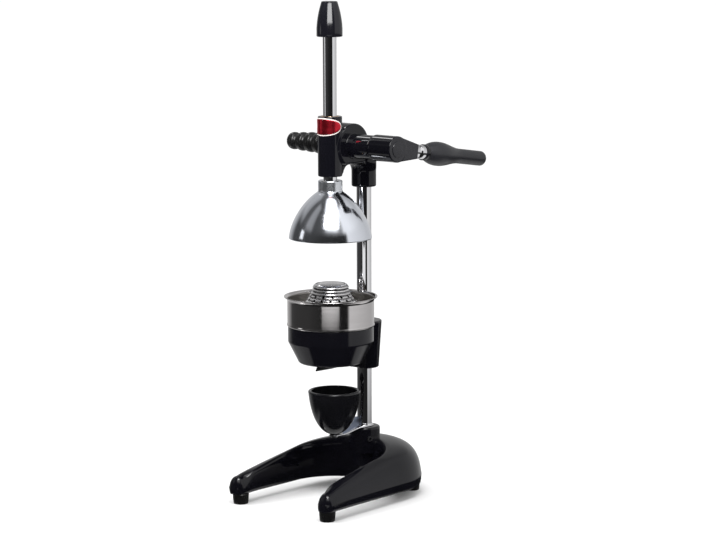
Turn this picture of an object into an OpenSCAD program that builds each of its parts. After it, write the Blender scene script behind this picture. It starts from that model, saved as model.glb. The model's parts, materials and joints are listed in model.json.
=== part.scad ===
// Lever citrus juice press: a rack and pinion press on a horseshoe stand.
// Millimetres. +Z is up, the open end of the stand faces -Y, the lever hub is at +X.
// The origin is on the counter, straight below the press ram.

/* [Stand] */
// Distance from the ram axis back to the column axis
throat = 75; // [73:1:90]
// Diameter of the column
column_d = 22; // [18:1:24]
// Bore of the column tube
column_bore = 17; // [8:1:17]
// Height of the column's top above the counter
column_top = 512; // [506:1:513]
// Inner half width between the two legs
leg_inner = 72; // [66:1:80]
// Width of a leg at its rounded nose
nose_w = 29; // [28:1:34]
// Distance from the ram axis forward to the middle of the nose
nose_y = 107; // [90:0.5:120]
// Height of the casting's lower edge above the counter
foot_h = 15; // [10:1:20]
// Height of the leg at its nose
nose_h = 42; // [36:1:50]
// Height of the rear hump
hump_h = 80; // [70:1:84]
// Radius of the rear hump, seen from above
hump_r = 96; // [90:1:102]
// Depth of the rear hump behind the column axis
hump_depth = 79; // [70:1:95]
// Wall of the cast stand
cast_wall = 6; // [5:0.5:8]
// Diameter of a rubber foot
foot_d = 24; // [18:1:26]
// Distance from the mid plane to each rear foot
rear_foot_x = 52; // [35:1:60]
// Diameter of the column socket on the stand
socket_d = 46; // [40:1:52]
// Height of the top of the column socket
socket_top = 98.5; // [92:0.5:100]

/* [Drip cup] */
// Length of the swing arm from the column to the cup
arm_len = 68; // [66:1:74]
// Thickness of the swing arm
arm_t = 2; // [1.5:0.5:4]
// How far the cup end of the arm lies below its column end
arm_drop = 5; // [4:0.5:7]
// Outer diameter of the cup's rim
cup_d = 77; // [60:0.2:80]
// Depth of the cup
cup_h = 66; // [50:1:70]
// Depth of the whole ellipse that the cup's outline is cut from
cup_ellipse = 82; // [76:1:110]
// Wall of the cup
cup_wall = 3; // [2:0.5:4]

/* [Juice head] */
// Outer diameter of the holder below the bowl
holder_d = 125.2; // [118:0.2:127]
// Height of the holder's top edge above the counter
holder_top = 259.5; // [255:0.5:270]
// Height of the holder's straight wall
holder_wall_h = 23; // [15:1:26]
// Height of the holder's taper
holder_taper_h = 32; // [24:1:36]
// Diameter of the holder's lower end
holder_end_d = 98; // [80:1:104]
// Wall of the holder
holder_t = 4; // [3:0.5:5]
// Diameter of the clamp that holds the holder to the column
clamp_d = 52; // [46:1:54]
// How far the clamp reaches below the holder
clamp_drop = 17; // [10:1:20]
// Outer diameter of the steel bowl
bowl_d = 128.2; // [126:0.2:130]
// Height of the steel bowl's band
bowl_h = 40; // [34:1:44]
// How far the bowl's rim flares past its band
rim_flare = 4.15; // [3:0.05:6]
// Sheet thickness of the bowl and the strainer
sheet = 1.2; // [0.8:0.1:1.6]
// Depth of the strainer's flat ring below the bowl's rim
strainer_depth = 14; // [12:1:17]
// Largest diameter of the squeezing cone
cone_d = 82; // [70:1:86]
// Diameter of the cone's flat top
cone_top_d = 44; // [36:1:50]
// Height of the squeezing cone
cone_h = 34; // [28:1:38]
// Number of steps on the cone
cone_steps = 5; // [3:1:7]

/* [Ram and bell] */
// Diameter of the ram
ram_d = 20; // [19:0.5:21]
// Height of the ram's bottom end
ram_foot = 444; // [441:1:448]
// Height of the lower edge of the bumper cap
cap_z = 679.5; // [675:0.5:690]
// Height of the bumper cap
cap_h = 50.5; // [45:0.5:56]
// Largest diameter of the bumper cap
cap_d = 37.6; // [32:0.2:42]
// Outer diameter of the press bell
bell_d = 120.8; // [112:0.4:122]
// Height of the bell's rim at rest
bell_z = 387.6; // [385:0.2:390]
// Height of the full dome that the bell is cut from
bell_dome = 75; // [72:1:78]
// Height of the full dome that the bell's inside is cut from
bell_hollow = 54; // [48:1:56]
// Wall of the bell at its rim
bell_wall = 3.5; // [2.5:0.5:4.5]
// Diameter of the bell's neck
neck_d = 35.4; // [31:0.2:38]
// Height of the top of the bell's neck
neck_top = 472.3; // [468:0.1:474]

/* [Press head] */
// Outer diameter of the guide tube
guide_d = 35.4; // [33:0.2:40]
// Height of the guide tube's lower end
guide_z = 478; // [476:0.5:482]
// Height of the guide tube's upper end
guide_top = 565; // [556:1:580]
// Height of the pinion axis
pinion_z = 521; // [519:0.5:523]
// Radius of the gear housing
housing_r = 33; // [31:0.5:35]
// Width of the gear housing
housing_w = 40; // [38:1:46]
// Diameter of the pinion tube
tube_d = 34.5; // [32:0.5:37]
// Distance from the mid plane to the joint between head and lever hub
joint_x = 60.5; // [55:0.5:66]
// Diameter of the head's column socket
head_socket_d = 34.4; // [32:0.2:38]
// Height of the lower end of the head's column socket
head_socket_z = 456.5; // [450:0.5:462]
// Width of the oval badge plate along its curve
badge_w = 66; // [40:1:70]
// Height of the oval badge plate
badge_h = 26; // [18:1:27]

/* [Gears] */
// Gear module
gear_m = 1.5; // [1.5:0.01:1.52]
// Number of teeth on the pinion
teeth = 28; // [27:1:28]
// Face width of the pinion
gear_w = 22; // [18:1:26]
// Play between the teeth, measured along the pitch line
backlash = 0.3; // [0.2:0.02:0.4]
// Diameter of the pinion shaft
shaft_d = 16; // [12:0.5:17]

/* [Lever] */
// Width of the lever hub along the pinion axis
hub_w = 42.5; // [38:0.5:48]
// Diameter of the lever hub
hub_d = 38; // [36:0.5:42]
// Thickness of the hub's flat arm
flat_t = 20; // [16:1:24]
// Distance from the pinion axis to the end of the flat arm
flat_len = 43.8; // [38:0.2:50]
// Height of the flat arm at its end
flat_end_h = 21; // [17:1:26]
// Angle of the resting lever below the horizontal
lever_droop = 8.6; // [0:0.2:15]
// Length of the chrome ferrule
ferrule_len = 23; // [15:1:26]
// Diameter of the chrome ferrule
ferrule_d = 19; // [14:0.5:22]
// Thickness of the black ring in front of the grip
ring_t = 8; // [4:0.5:9]
// Length of the grip
grip_len = 136; // [110:1:160]
// Largest diameter of the grip
grip_d = 35.4; // [30:0.2:40]
// Diameter of the grip's straight tail
grip_tail_d = 22; // [18:0.5:26]
// Diameter of the rod inside the grip
rod_d = 12; // [8:0.5:13]

/* [Side grip] */
// Distance from the mid plane to the outer end of the side grip
side_end = 103; // [92:1:115]
// Number of ribs on the side grip
side_ribs = 5; // [3:1:6]
// Diameter of the side grip's outermost rib
side_d = 25.6; // [22:0.2:28]
// Growth of each further rib's diameter towards the head
side_step = 1.5; // [0:0.1:2]

/* [Clearances] */
// Radial clearance of a turning or sliding fit
run_gap = 0.05; // [0.03:0.01:0.09]
// Radial clearance of a fixed fit
fit_gap = 0.02; // [0.01:0.01:0.05]
// Gap between parts that pass each other
pass_gap = 0.4; // [0.3:0.1:0.8]

/* [Hidden] */
$fn = 96;

black_paint = [0.05, 0.05, 0.055];
black_rubber = [0.09, 0.09, 0.09];
black_plastic = [0.13, 0.13, 0.14];
steel = [0.78, 0.79, 0.8];
bright_steel = [0.88, 0.89, 0.9];
bronze = [0.72, 0.52, 0.3];
badge_red = [0.66, 0.08, 0.1];
badge_cream = [0.92, 0.9, 0.86];

column_r = column_d / 2;
ram_r = ram_d / 2;
shaft_r = shaft_d / 2;
rod_r = rod_d / 2;

// ---------------------------------------------------------------- small helpers

// A cylinder along +X from x0 to x1 on the axis through (y, z)
module x_rod(x0, x1, r, y = 0, z = 0) {
    translate([x0, y, z]) rotate([0, 90, 0]) cylinder(r = r, h = x1 - x0);
}

// A disc with a chamfered upper edge
module chamfered(r, h, c) {
    rotate_extrude() polygon([[0, 0], [r, 0], [r, h - c], [r - c, h], [0, h]]);
}

// A boss with flat sides and a chamfered top, for places where it grows out of a lofted casting
module cast_boss(r, h, c, sides = 40) {
    outline = [for (i = [0:sides - 1]) [r * cos(360 * i / sides), r * sin(360 * i / sides)]];
    linear_extrude(h - c) polygon(outline);
    translate([0, 0, h - c]) linear_extrude(c, scale = (r - c) / r) polygon(outline);
}

// A socket-head screw along +Z with its head's top at z = 0
module socket_screw(d, length, head_d, head_h) {
    difference() {
        union() {
            translate([0, 0, -length]) cylinder(d = d, h = length);
            translate([0, 0, -head_h]) cylinder(d = head_d, h = head_h);
        }
        translate([0, 0, -head_h * 0.6]) cylinder(d = head_d * 0.5, h = head_h, $fn = 6);
    }
}

// Points of an arc about [cx, cy]
function arc(cx, cy, r, a0, a1, n) =
    [for (i = [0:n]) [cx + r * cos(a0 + (a1 - a0) * i / n), cy + r * sin(a0 + (a1 - a0) * i / n)]];

// Points of a superellipse quarter, from [a, 0] up to the height limit top
function super_quarter(a, b, power, top, n) =
    [for (i = [0:n]) let (h = top * i / n) [a * pow(1 - pow(h / b, power), 1 / power), h]];

// Closes a loop of rings into one solid; every ring has the same number of points
module loft(rings) {
    count = len(rings);
    n = len(rings[0]);
    points = [for (ring = rings) each ring];
    sides = [for (i = [0:count - 2]) for (j = [0:n - 1])
        [i * n + j, i * n + (j + 1) % n, (i + 1) * n + (j + 1) % n, (i + 1) * n + j]];
    first = [[for (j = [n - 1:-1:0]) j]];
    last = [[for (j = [0:n - 1]) (count - 1) * n + j]];
    polyhedron(points = points, faces = concat(sides, first, last), convexity = 10);
}

// ---------------------------------------------------------------- stand

inner_y = throat - leg_inner;
outer_y = throat + hump_depth - hump_r;
nose_r = nose_w / 2;
nose_x = leg_inner + nose_r;
skin_points = 10;
leg_stations = 6;
arc_stations = 20;
nose_stations = 5;

// Height of the inner rim at a share s of the way from nose to rear
function rim_h(s) = nose_h + (hump_h - nose_h) * pow(s, 0.8);

// Top line of a section at a share u of its width: a slight dip beside the rim, then a full shoulder
function crest(u) = pow(1 - pow(u, 4.6), 0.42) * (1 - 0.16 * pow(1 - min(1, u * 9), 2));
// A section of width w and height h: over the outside, then back along the inside.
// deep is how far its inside is open, from 0 to 1
function section(w, h, deep) = let (
        wall = min(cast_wall, w * 0.28),
        shares = [1, 0.95, 0.85, 0.7, 0.5, 0.25, 0])
    concat([[0, foot_h]],
        [for (i = [0:skin_points]) let (u = pow(i / skin_points, 1.25)) [w * u, foot_h + (h - foot_h) * crest(u)]],
        [[w - wall, foot_h]],
        [for (u = shares) [wall + (w - 2 * wall) * (0.04 + 0.92 * u),
            foot_h + 1.2 + deep * (h - foot_h - cast_wall - 1.2) * max(0.1, crest(u))]],
        [[wall, foot_h]]);

// A station is [inner point, outer point, height, deep]; side is -1 left and 1 right
function leg_station(side, t) = [
    [side * leg_inner, -nose_y + (nose_y + inner_y) * t],
    [side * (hump_r + (leg_inner + nose_w - hump_r) * pow(1 - t, 1.5)), -nose_y + (nose_y + outer_y) * t],
    rim_h(0.62 * t), t < 0.1 ? 0 : 1];
function rear_station(a) = [
    [-leg_inner * cos(a), inner_y + leg_inner * sin(a)],
    [-hump_r * cos(a), outer_y + hump_r * sin(a)],
    rim_h(0.62 + 0.38 * pow(sin(a), 1.2)), 1];
function nose_station(side, a) = [
    [side * (nose_x - nose_r * cos(a)), -nose_y - nose_r * sin(a)],
    [side * (nose_x + nose_r * cos(a)), -nose_y - nose_r * sin(a)],
    foot_h + (nose_h - foot_h) * (1 - 0.45 * pow(sin(a), 3)), 0];

// Places a section's points on its station
function placed(s) = let (
        across = s[1] - s[0],
        w = norm(across),
        n = across / w)
    [for (p = section(w, s[2], s[3])) [s[0][0] + n[0] * p[0], s[0][1] + n[1] * p[0], p[1]]];

nose_end = 84;
stations = concat(
    [for (i = [nose_stations:-1:1]) nose_station(-1, nose_end * i / nose_stations)],
    [for (i = [0:leg_stations]) leg_station(-1, i / leg_stations)],
    [for (i = [1:arc_stations - 1]) rear_station(180 * i / arc_stations)],
    [for (i = [leg_stations:-1:0]) leg_station(1, i / leg_stations)],
    [for (i = [1:nose_stations]) nose_station(1, nose_end * i / nose_stations)]);

front_foot = [nose_x - 2.5, -nose_y + 1.5];
rear_foot = [rear_foot_x, outer_y + sqrt(pow(hump_r - foot_d / 2 - 1, 2) - rear_foot_x * rear_foot_x)];
foot_screw_d = 6;
boss_h = 32;
socket_root = 58;
column_seat = 30;
set_screw_d = 8;
set_screw_z = socket_top - 16;
set_screw_angle = -30;

module at_front_feet() {
    for (side = [-1, 1]) translate([side * front_foot[0], front_foot[1], 0]) children();
}
module at_rear_feet() {
    for (side = [-1, 1]) translate([side * rear_foot[0], rear_foot[1], 0]) children();
}

// Ribs under the hump, from the socket's root out to the rear wall
rib_angles = [20:20:160];
rib_t = 3;
module rib(a) {
    hull() {
        translate([16 * cos(a), throat + 16 * sin(a), foot_h + 6]) cylinder(d = rib_t, h = 52, $fn = 16);
        translate([(hump_r - 4) * cos(a), outer_y + (hump_r - 4) * sin(a), foot_h + 6])
            cylinder(d = rib_t, h = 17, $fn = 16);
    }
}

module base_casting() {
    $fn = 64;
    color(black_paint) difference() {
        union() {
            loft([for (s = stations) placed(s)]);
            translate([0, throat, socket_root]) cast_boss(socket_d / 2, socket_top - socket_root, 2.5);
            translate([0, throat, foot_h]) cast_boss(socket_d / 2 - 5, socket_top - foot_h - 3, 1, 36);
            at_rear_feet() translate([0, 0, foot_h]) cast_boss(foot_d / 2 - 1, boss_h, 1, 24);
            for (a = rib_angles) rib(a);
        }
        translate([0, throat, column_seat]) cylinder(r = column_r + fit_gap, h = socket_top);
        translate([0, throat, foot_h - 1]) cylinder(d = foot_screw_d + 2, h = column_seat);
        at_front_feet() translate([0, 0, foot_h - 1]) cylinder(r = foot_screw_d / 2 + fit_gap, h = 19);
        at_rear_feet() translate([0, 0, foot_h - 1]) cylinder(r = foot_screw_d / 2 + fit_gap, h = 19);
        translate([0, throat, set_screw_z]) rotate([0, 90, set_screw_angle])
            cylinder(r = set_screw_d / 2 + fit_gap, h = socket_d);
    }
}

// One rubber foot: a tapered cup with a hole for its screw
module foot() {
    difference() {
        rotate_extrude() polygon([[0, 0], [foot_d / 2 - 2.2, 0], [foot_d / 2 - 0.8, 1.4],
            [foot_d / 2, foot_h], [0, foot_h]]);
        translate([0, 0, foot_h - 7]) cylinder(r = foot_screw_d / 2 + fit_gap, h = 8);
        translate([0, 0, -1]) cylinder(d = foot_screw_d + 7, h = foot_h - 6);
    }
}
module front_feet() { color(black_rubber) at_front_feet() foot(); }
module rear_feet() { color(black_rubber) at_rear_feet() foot(); }

module foot_screw() {
    translate([0, 0, foot_h - 7]) mirror([0, 0, 1]) cylinder(d = foot_screw_d + 5, h = 4);
    translate([0, 0, foot_h - 7.5]) cylinder(d = foot_screw_d, h = 23);
}
module foot_screws() {
    color(steel) {
        at_front_feet() foot_screw();
        at_rear_feet() foot_screw();
    }
}

module column_tube() {
    color(bright_steel) translate([0, throat, column_seat]) difference() {
        cylinder(r = column_r, h = column_top - column_seat);
        translate([0, 0, -1]) cylinder(d = column_bore, h = column_top - column_seat + 2);
    }
}

// A grub screw whose inner end presses on the column
module grub(d, length) {
    difference() {
        cylinder(d = d, h = length);
        translate([0, 0, length - 3]) cylinder(d = d * 0.5, h = 4, $fn = 6);
    }
}
module base_set_screw() {
    color(steel) translate([0, throat, set_screw_z]) rotate([0, 90, set_screw_angle])
        translate([0, 0, column_r + fit_gap]) grub(set_screw_d, socket_d / 2 - column_r + 2.5);
}

// ---------------------------------------------------------------- drip cup on its swing arm

cup_y = throat - arm_len;
arm_z = socket_top;
arm_eye_r = column_r + 2.5;
arm_end_r = 8;
arm_end_z = arm_z - arm_drop;
arm_flat = 16;
arm_edge_in = 0.1;
collar_h = 2;
cup_seat = 0.5;
cup_z = arm_end_z + arm_t + cup_seat;
cup_foot_r = 7;
cup_screw_d = 5;
cup_lip_r = 2.6;

// The strip of the arm, seen from the side: flat at the column, sloping, flat below the cup
module arm_side() {
    bend = throat - socket_d / 2 - 1;
    seat = cup_y + arm_flat;
    polygon([[throat + arm_eye_r, arm_z], [throat + arm_eye_r, arm_z + arm_t], [bend, arm_z + arm_t],
        [seat, arm_end_z + arm_t], [cup_y - arm_end_r, arm_end_z + arm_t],
        [cup_y - arm_end_r, arm_end_z], [seat, arm_end_z], [bend, arm_z]]);
}
// The outline of the arm, seen from above: a teardrop round the column
module arm_plan() {
    end_x = arm_end_r - arm_edge_in;
    eye_x = arm_eye_r - arm_edge_in;
    translate([0, throat]) circle(r = arm_eye_r);
    translate([0, cup_y]) circle(r = arm_end_r);
    polygon([[-end_x, cup_y], [end_x, cup_y], [eye_x, throat], [-eye_x, throat]]);
}
// The upright web on the arm, between the cup's side and the column
web_side_t = 1.6;
web_top = 16;
module arm_web() {
    foot_y = cup_y + 17;
    bend = throat - socket_d / 2 - 1;
    eye = throat - arm_eye_r + 1;
    translate([-web_side_t / 2, 0, 0]) rotate([90, 0, 90]) linear_extrude(web_side_t)
        polygon([[foot_y, arm_end_z + arm_t / 2], [foot_y + 10, arm_z + web_top - 3],
            [foot_y + 14, arm_z + web_top - 0.5], [foot_y + 20, arm_z + web_top], [eye - 3, arm_z + web_top],
            [eye, arm_z + web_top - 2], [eye, arm_z + arm_t / 2], [bend, arm_z + arm_t / 2]]);
}
module cup_arm() {
    color(bright_steel) difference() {
        union() {
            arm_web();
            intersection() {
                translate([-arm_eye_r - 1, 0, 0]) rotate([90, 0, 90])
                    linear_extrude(2 * arm_eye_r + 2) arm_side();
                translate([0, 0, arm_end_z - 1]) linear_extrude(arm_drop + arm_t + 2) arm_plan();
            }
            translate([0, throat, arm_z]) chamfered(arm_eye_r - 1.5, arm_t + collar_h, 1);
        }
        translate([0, throat, arm_z - 1]) cylinder(r = column_r + run_gap, h = arm_t + collar_h + 2);
        translate([0, cup_y, arm_end_z - 1]) cylinder(r = cup_screw_d / 2 + fit_gap, h = arm_t + 2);
    }
}

// Half profile of the cup's outside or inside: an ellipse from its lowest point up to height h
function cup_side(r, h, full, n) = let (end = acos(1 - h / full))
    [for (i = [0:n]) [r / sin(end) * sin(end * i / n), full * (1 - cos(end * i / n))]];
module drip_cup() {
    r = cup_d / 2;
    lip_y = cup_h - cup_lip_r;
    color(black_plastic) translate([0, cup_y, cup_z]) difference() {
        union() {
            rotate_extrude() polygon(concat(cup_side(r - 0.3, lip_y, cup_ellipse, 24),
                arc(r - cup_lip_r, lip_y, cup_lip_r, 0, 180, 10), [[0, lip_y]]));
            translate([0, 0, -cup_seat]) cylinder(r = cup_foot_r, h = cup_seat + 3);
        }
        translate([0, 0, cup_wall + 2]) rotate_extrude()
            polygon(concat(cup_side(r - 2 * cup_lip_r, cup_h - cup_wall - 1.5, cup_ellipse - 5, 24),
                [[0, cup_h]]));
        translate([0, 0, -cup_seat - 1]) cylinder(r = cup_screw_d / 2 + fit_gap, h = cup_seat + 4);
    }
}
module cup_screw() {
    color(steel) translate([0, cup_y, arm_end_z]) {
        cylinder(d = cup_screw_d, h = arm_t + cup_seat + 2.5);
        translate([0, 0, -2.6]) difference() {
            cylinder(d = cup_screw_d + 4, h = 2.6);
            translate([0, 0, -1]) cylinder(d = 3.4, h = 2.6, $fn = 6);
        }
    }
}

// ---------------------------------------------------------------- holder, funnel, bowl and strainer

holder_r = holder_d / 2;
holder_end_r = holder_end_d / 2;
crease_z = holder_top - holder_wall_h;
holder_z = crease_z - holder_taper_h;
clamp_z = holder_z - clamp_drop;
clamp_r = clamp_d / 2;
clamp_screws = [0.3, 0.75];
outlet_r = 27;
clamp_screw_d = 8;

module holder_casting() {
    color(black_paint) difference() {
        union() {
            translate([0, 0, holder_z]) rotate_extrude() polygon(concat(
                [[0, 0], [holder_end_r - 7, 0]],
                arc(holder_end_r - 6, 6, 6, -75, -15, 6),
                [[holder_r, holder_taper_h], [holder_r, holder_taper_h + holder_wall_h],
                 [0, holder_taper_h + holder_wall_h]]));
            hull() {
                translate([0, throat, holder_top - 4]) cylinder(r = clamp_r, h = 2.5, $fn = 48);
                translate([0, throat, clamp_z]) cylinder(r = clamp_r - 4.5, h = 4, $fn = 48);
                translate([-clamp_r + 3, holder_end_r - 12, holder_top - 4]) cube([2 * clamp_r - 6, 4, 2.5]);
                translate([-clamp_r + 9, holder_end_r - 12, holder_z + 6]) cube([2 * clamp_r - 18, 4, 4]);
            }
        }
        translate([0, 0, crease_z]) cylinder(r = holder_r - holder_t, h = holder_wall_h + 1);
        translate([0, 0, holder_z + holder_t]) cylinder(r1 = holder_end_r - holder_t - 1.5,
            r2 = holder_r - holder_t, h = holder_taper_h - holder_t + 0.01);
        translate([0, 0, holder_z - 1]) cylinder(r = outlet_r, h = holder_t + 2);
        translate([0, throat, clamp_z - 1]) cylinder(r = column_r + fit_gap, h = holder_top);
        for (k = clamp_screws) translate([0, throat, clamp_z + (holder_top - clamp_z) * k])
            rotate([-90, 0, 0]) cylinder(r = clamp_screw_d / 2 + fit_gap, h = clamp_d);
    }
}
module holder_set_screws() {
    color(steel) for (k = clamp_screws)
        translate([0, throat + column_r + fit_gap, clamp_z + (holder_top - clamp_z) * k])
            rotate([-90, 0, 0]) grub(clamp_screw_d, clamp_r - column_r - 1);
}

// The funnel lies in the holder, and its tongue pokes out through the holder's open floor
funnel_gap = 0.3;
funnel_t = 2.2;
funnel_r = holder_r - holder_t - funnel_gap;
funnel_end_r = holder_end_r - holder_t - 2;
funnel_z = holder_z + holder_t + funnel_gap;
spout_reach = 34;
spout_root = 20;
spout_w = 15;
spout_wall = 2;
spout_tip_z = holder_z - 9.2;
spout_low_z = holder_z - 6.4;
funnel_h = holder_top - funnel_z - 7;

// The spout, seen from above: a pointed tongue that is round at its rear
module spout_plan(inset) {
    r = spout_w - inset;
    translate([0, spout_root - spout_w]) circle(r = r);
    polygon([[-r, spout_root - spout_w], [-r * 0.86, -12], [0, -spout_reach + inset * 2.4], [r * 0.86, -12],
        [r, spout_root - spout_w]]);
}
// The same spout from the side: its floor falls from the rear to the tip; lift raises the floor
module spout_side(lift) {
    rotate([90, 0, 90]) translate([0, 0, -spout_w - 1]) linear_extrude(2 * spout_w + 2) polygon([
        [-spout_reach - 1, spout_tip_z + lift], [-12, spout_low_z + lift], [spout_root, spout_low_z + 2 + lift],
        [spout_root, funnel_z + funnel_t + 1], [-outlet_r + 3, funnel_z + funnel_t + 1],
        [-outlet_r + 3, holder_z - 3.5 + lift], [-spout_reach - 1, spout_tip_z + 1.5 + lift * 2]]);
}
module juice_funnel() {
    taper = crease_z - funnel_z;
    color(black_plastic) difference() {
        union() {
            translate([0, 0, funnel_z]) rotate_extrude() polygon([[0, 0], [funnel_end_r, 0],
                [funnel_r, taper], [funnel_r, funnel_h], [0, funnel_h]]);
            intersection() {
                translate([0, 0, spout_tip_z - 1]) linear_extrude(funnel_z - spout_tip_z + 2) spout_plan(0);
                spout_side(0);
            }
        }
        translate([0, 0, funnel_z + funnel_t]) rotate_extrude() polygon([[0, 0],
            [funnel_end_r - funnel_t, 0], [funnel_r - funnel_t, taper - funnel_t],
            [funnel_r - funnel_t, funnel_h], [0, funnel_h]]);
        intersection() {
            translate([0, 0, spout_tip_z - 1]) linear_extrude(funnel_z - spout_tip_z + 8) spout_plan(spout_wall);
            spout_side(spout_wall);
        }
    }
}

bowl_r = bowl_d / 2;
bowl_rim_r = bowl_r + rim_flare;
bowl_foot_r = funnel_r - funnel_t - funnel_gap;
bowl_foot_h = 8;
rim_z = holder_top + bowl_h + 3.5;
ledge_z = rim_z - strainer_depth;
ledge_w = 5;

// Spun sheet bowl: band, flared rim, a step that sits on the holder and a ledge for the strainer.
// A notch fits the rim round the column, so that the bowl can't turn
module steel_bowl() {
    color(bright_steel) difference() {
        spun_bowl();
        translate([0, throat, holder_top + sheet]) cylinder(r = column_r + pass_gap, h = bowl_h + 5);
    }
}
module spun_bowl() {
    translate([0, 0, holder_top]) rotate_extrude() polygon([
        [bowl_foot_r, -bowl_foot_h], [bowl_foot_r, 0], [bowl_r, 0], [bowl_r, bowl_h],
        [bowl_rim_r - 0.8, bowl_h + 2.2], [bowl_rim_r, bowl_h + 3], [bowl_rim_r - 0.5, bowl_h + 3.5],
        [bowl_r - sheet, bowl_h + 1.2], [bowl_r - sheet, ledge_z - holder_top - sheet],
        [bowl_r - ledge_w, ledge_z - holder_top - sheet],
        [bowl_r - ledge_w, ledge_z - holder_top - 2 * sheet],
        [bowl_r - sheet, ledge_z - holder_top - 2 * sheet], [bowl_r - sheet, sheet],
        [bowl_foot_r - sheet, sheet], [bowl_foot_r - sheet, -bowl_foot_h]]);
}

cone_r = cone_d / 2;
cone_top_r = cone_top_d / 2;
cone_dome = 3;
flange_r = bowl_r - sheet - pass_gap;
hole_d = 4;
flange_holes = 36;
cone_holes = 14;

// Radius of the cone above its flange at a share k of its height
function cone_at(k) = cone_r + (cone_top_r - cone_r) * pow(k, 1.5);
// The stepped outline, from the flange up to the top, moved inwards by inset
function cone_outline(inset) = concat(
    [for (i = [0:cone_steps - 1]) each [
        [cone_at(i / cone_steps) - inset, cone_h * i / cone_steps + (i == 0 ? 0 : 0.6) - inset],
        [cone_at((i + 0.6) / cone_steps) - inset, cone_h * (i + 0.75) / cone_steps - inset]]],
    [[cone_top_r - inset, cone_h - inset], [0, cone_h + cone_dome - inset]]);

module strainer_cone() {
    color(steel) translate([0, 0, ledge_z - sheet]) difference() {
        rotate_extrude() polygon(concat([[0, 0], [flange_r, 0], [flange_r, sheet]],
            [for (p = cone_outline(0)) [p[0], p[1] + sheet]]));
        translate([0, 0, -1]) cylinder(r = cone_r - 3, h = 1.5);
        rotate_extrude() polygon(concat([[0, 0]], [for (p = cone_outline(2)) [p[0], p[1] + 2]]));
        // drain holes in the flat ring
        for (i = [0:flange_holes - 1]) rotate([0, 0, 360 * i / flange_holes])
            translate([(cone_r + flange_r) / 2 + (i % 2 == 0 ? 4.5 : -3.5), 0, -1])
                cylinder(d = hole_d, h = 4, $fn = 24);
        // drain holes low on the cone's side
        for (i = [0:cone_holes - 1]) rotate([0, 0, 360 * i / cone_holes])
            translate([cone_at(0.3) - 9, 0, cone_h * 0.36]) rotate([0, 90, 0])
                cylinder(d = hole_d, h = 14, $fn = 24);
    }
}

// ---------------------------------------------------------------- gears

pitch_r = gear_m * teeth / 2;
tip_r = pitch_r + gear_m;
root_r = pitch_r - 1.25 * gear_m;
base_r = pitch_r * cos(20);
pinion_y = pitch_r + ram_r - 1.2 * gear_m;
rack_line = pinion_y - pitch_r;
rack_pitch = PI * gear_m;
rack_root = rack_line - 1.25 * gear_m;
rack_tip = rack_line + gear_m;

// Involute function in degrees, and the polar angle of a flank at radius r from the tooth's middle
function inv(a) = tan(a) * 180 / PI - a;
function flank(r) = let (a = acos(min(1, base_r / r)))
    90 / teeth - backlash / pitch_r / 4 * 180 / PI + inv(20) - inv(a);
function tooth(mid) = let (
        radii = [for (i = [0:5]) max(base_r, root_r) + (tip_r - max(base_r, root_r)) * i / 5],
        low = [for (r = radii) [r, -flank(r)]],
        high = [for (i = [len(radii) - 1:-1:0]) [radii[i], flank(radii[i])]],
        foot_a = flank(base_r))
    [for (p = concat([[root_r, -foot_a]], low, high, [[root_r, foot_a]]))
        [p[0] * cos(mid + p[1]), p[0] * sin(mid + p[1])]];

// One tooth of the pinion points at the rack when the lever rests
module pinion_outline() {
    polygon([for (i = [0:teeth - 1]) each tooth(180 + 360 * i / teeth)]);
}

// ---------------------------------------------------------------- press head

head_floor = pinion_z - tip_r - 4;
cavity_r = tip_r + 1;
bush_t = 3;
bush_len = 18;
web_t = 18;
shaft_bush_r = shaft_r + bush_t;
cover_t = 5;
cover_r = housing_r - 2.5;
cover_screw_d = 4;
cover_screw_ring = cavity_r + 3.2;
cover_screw_angles = [45, 135, 225, 315];
stud_d = 10;
socket_z = head_floor + 4;
head_bore_top = column_top;
head_socket_top = column_top + 8;
head_screw_z = head_socket_z + 31;
head_screw_d = 8;
left_x = -housing_w / 2;
boss_r = shaft_bush_r + 4;
boss_len = 16;

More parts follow.
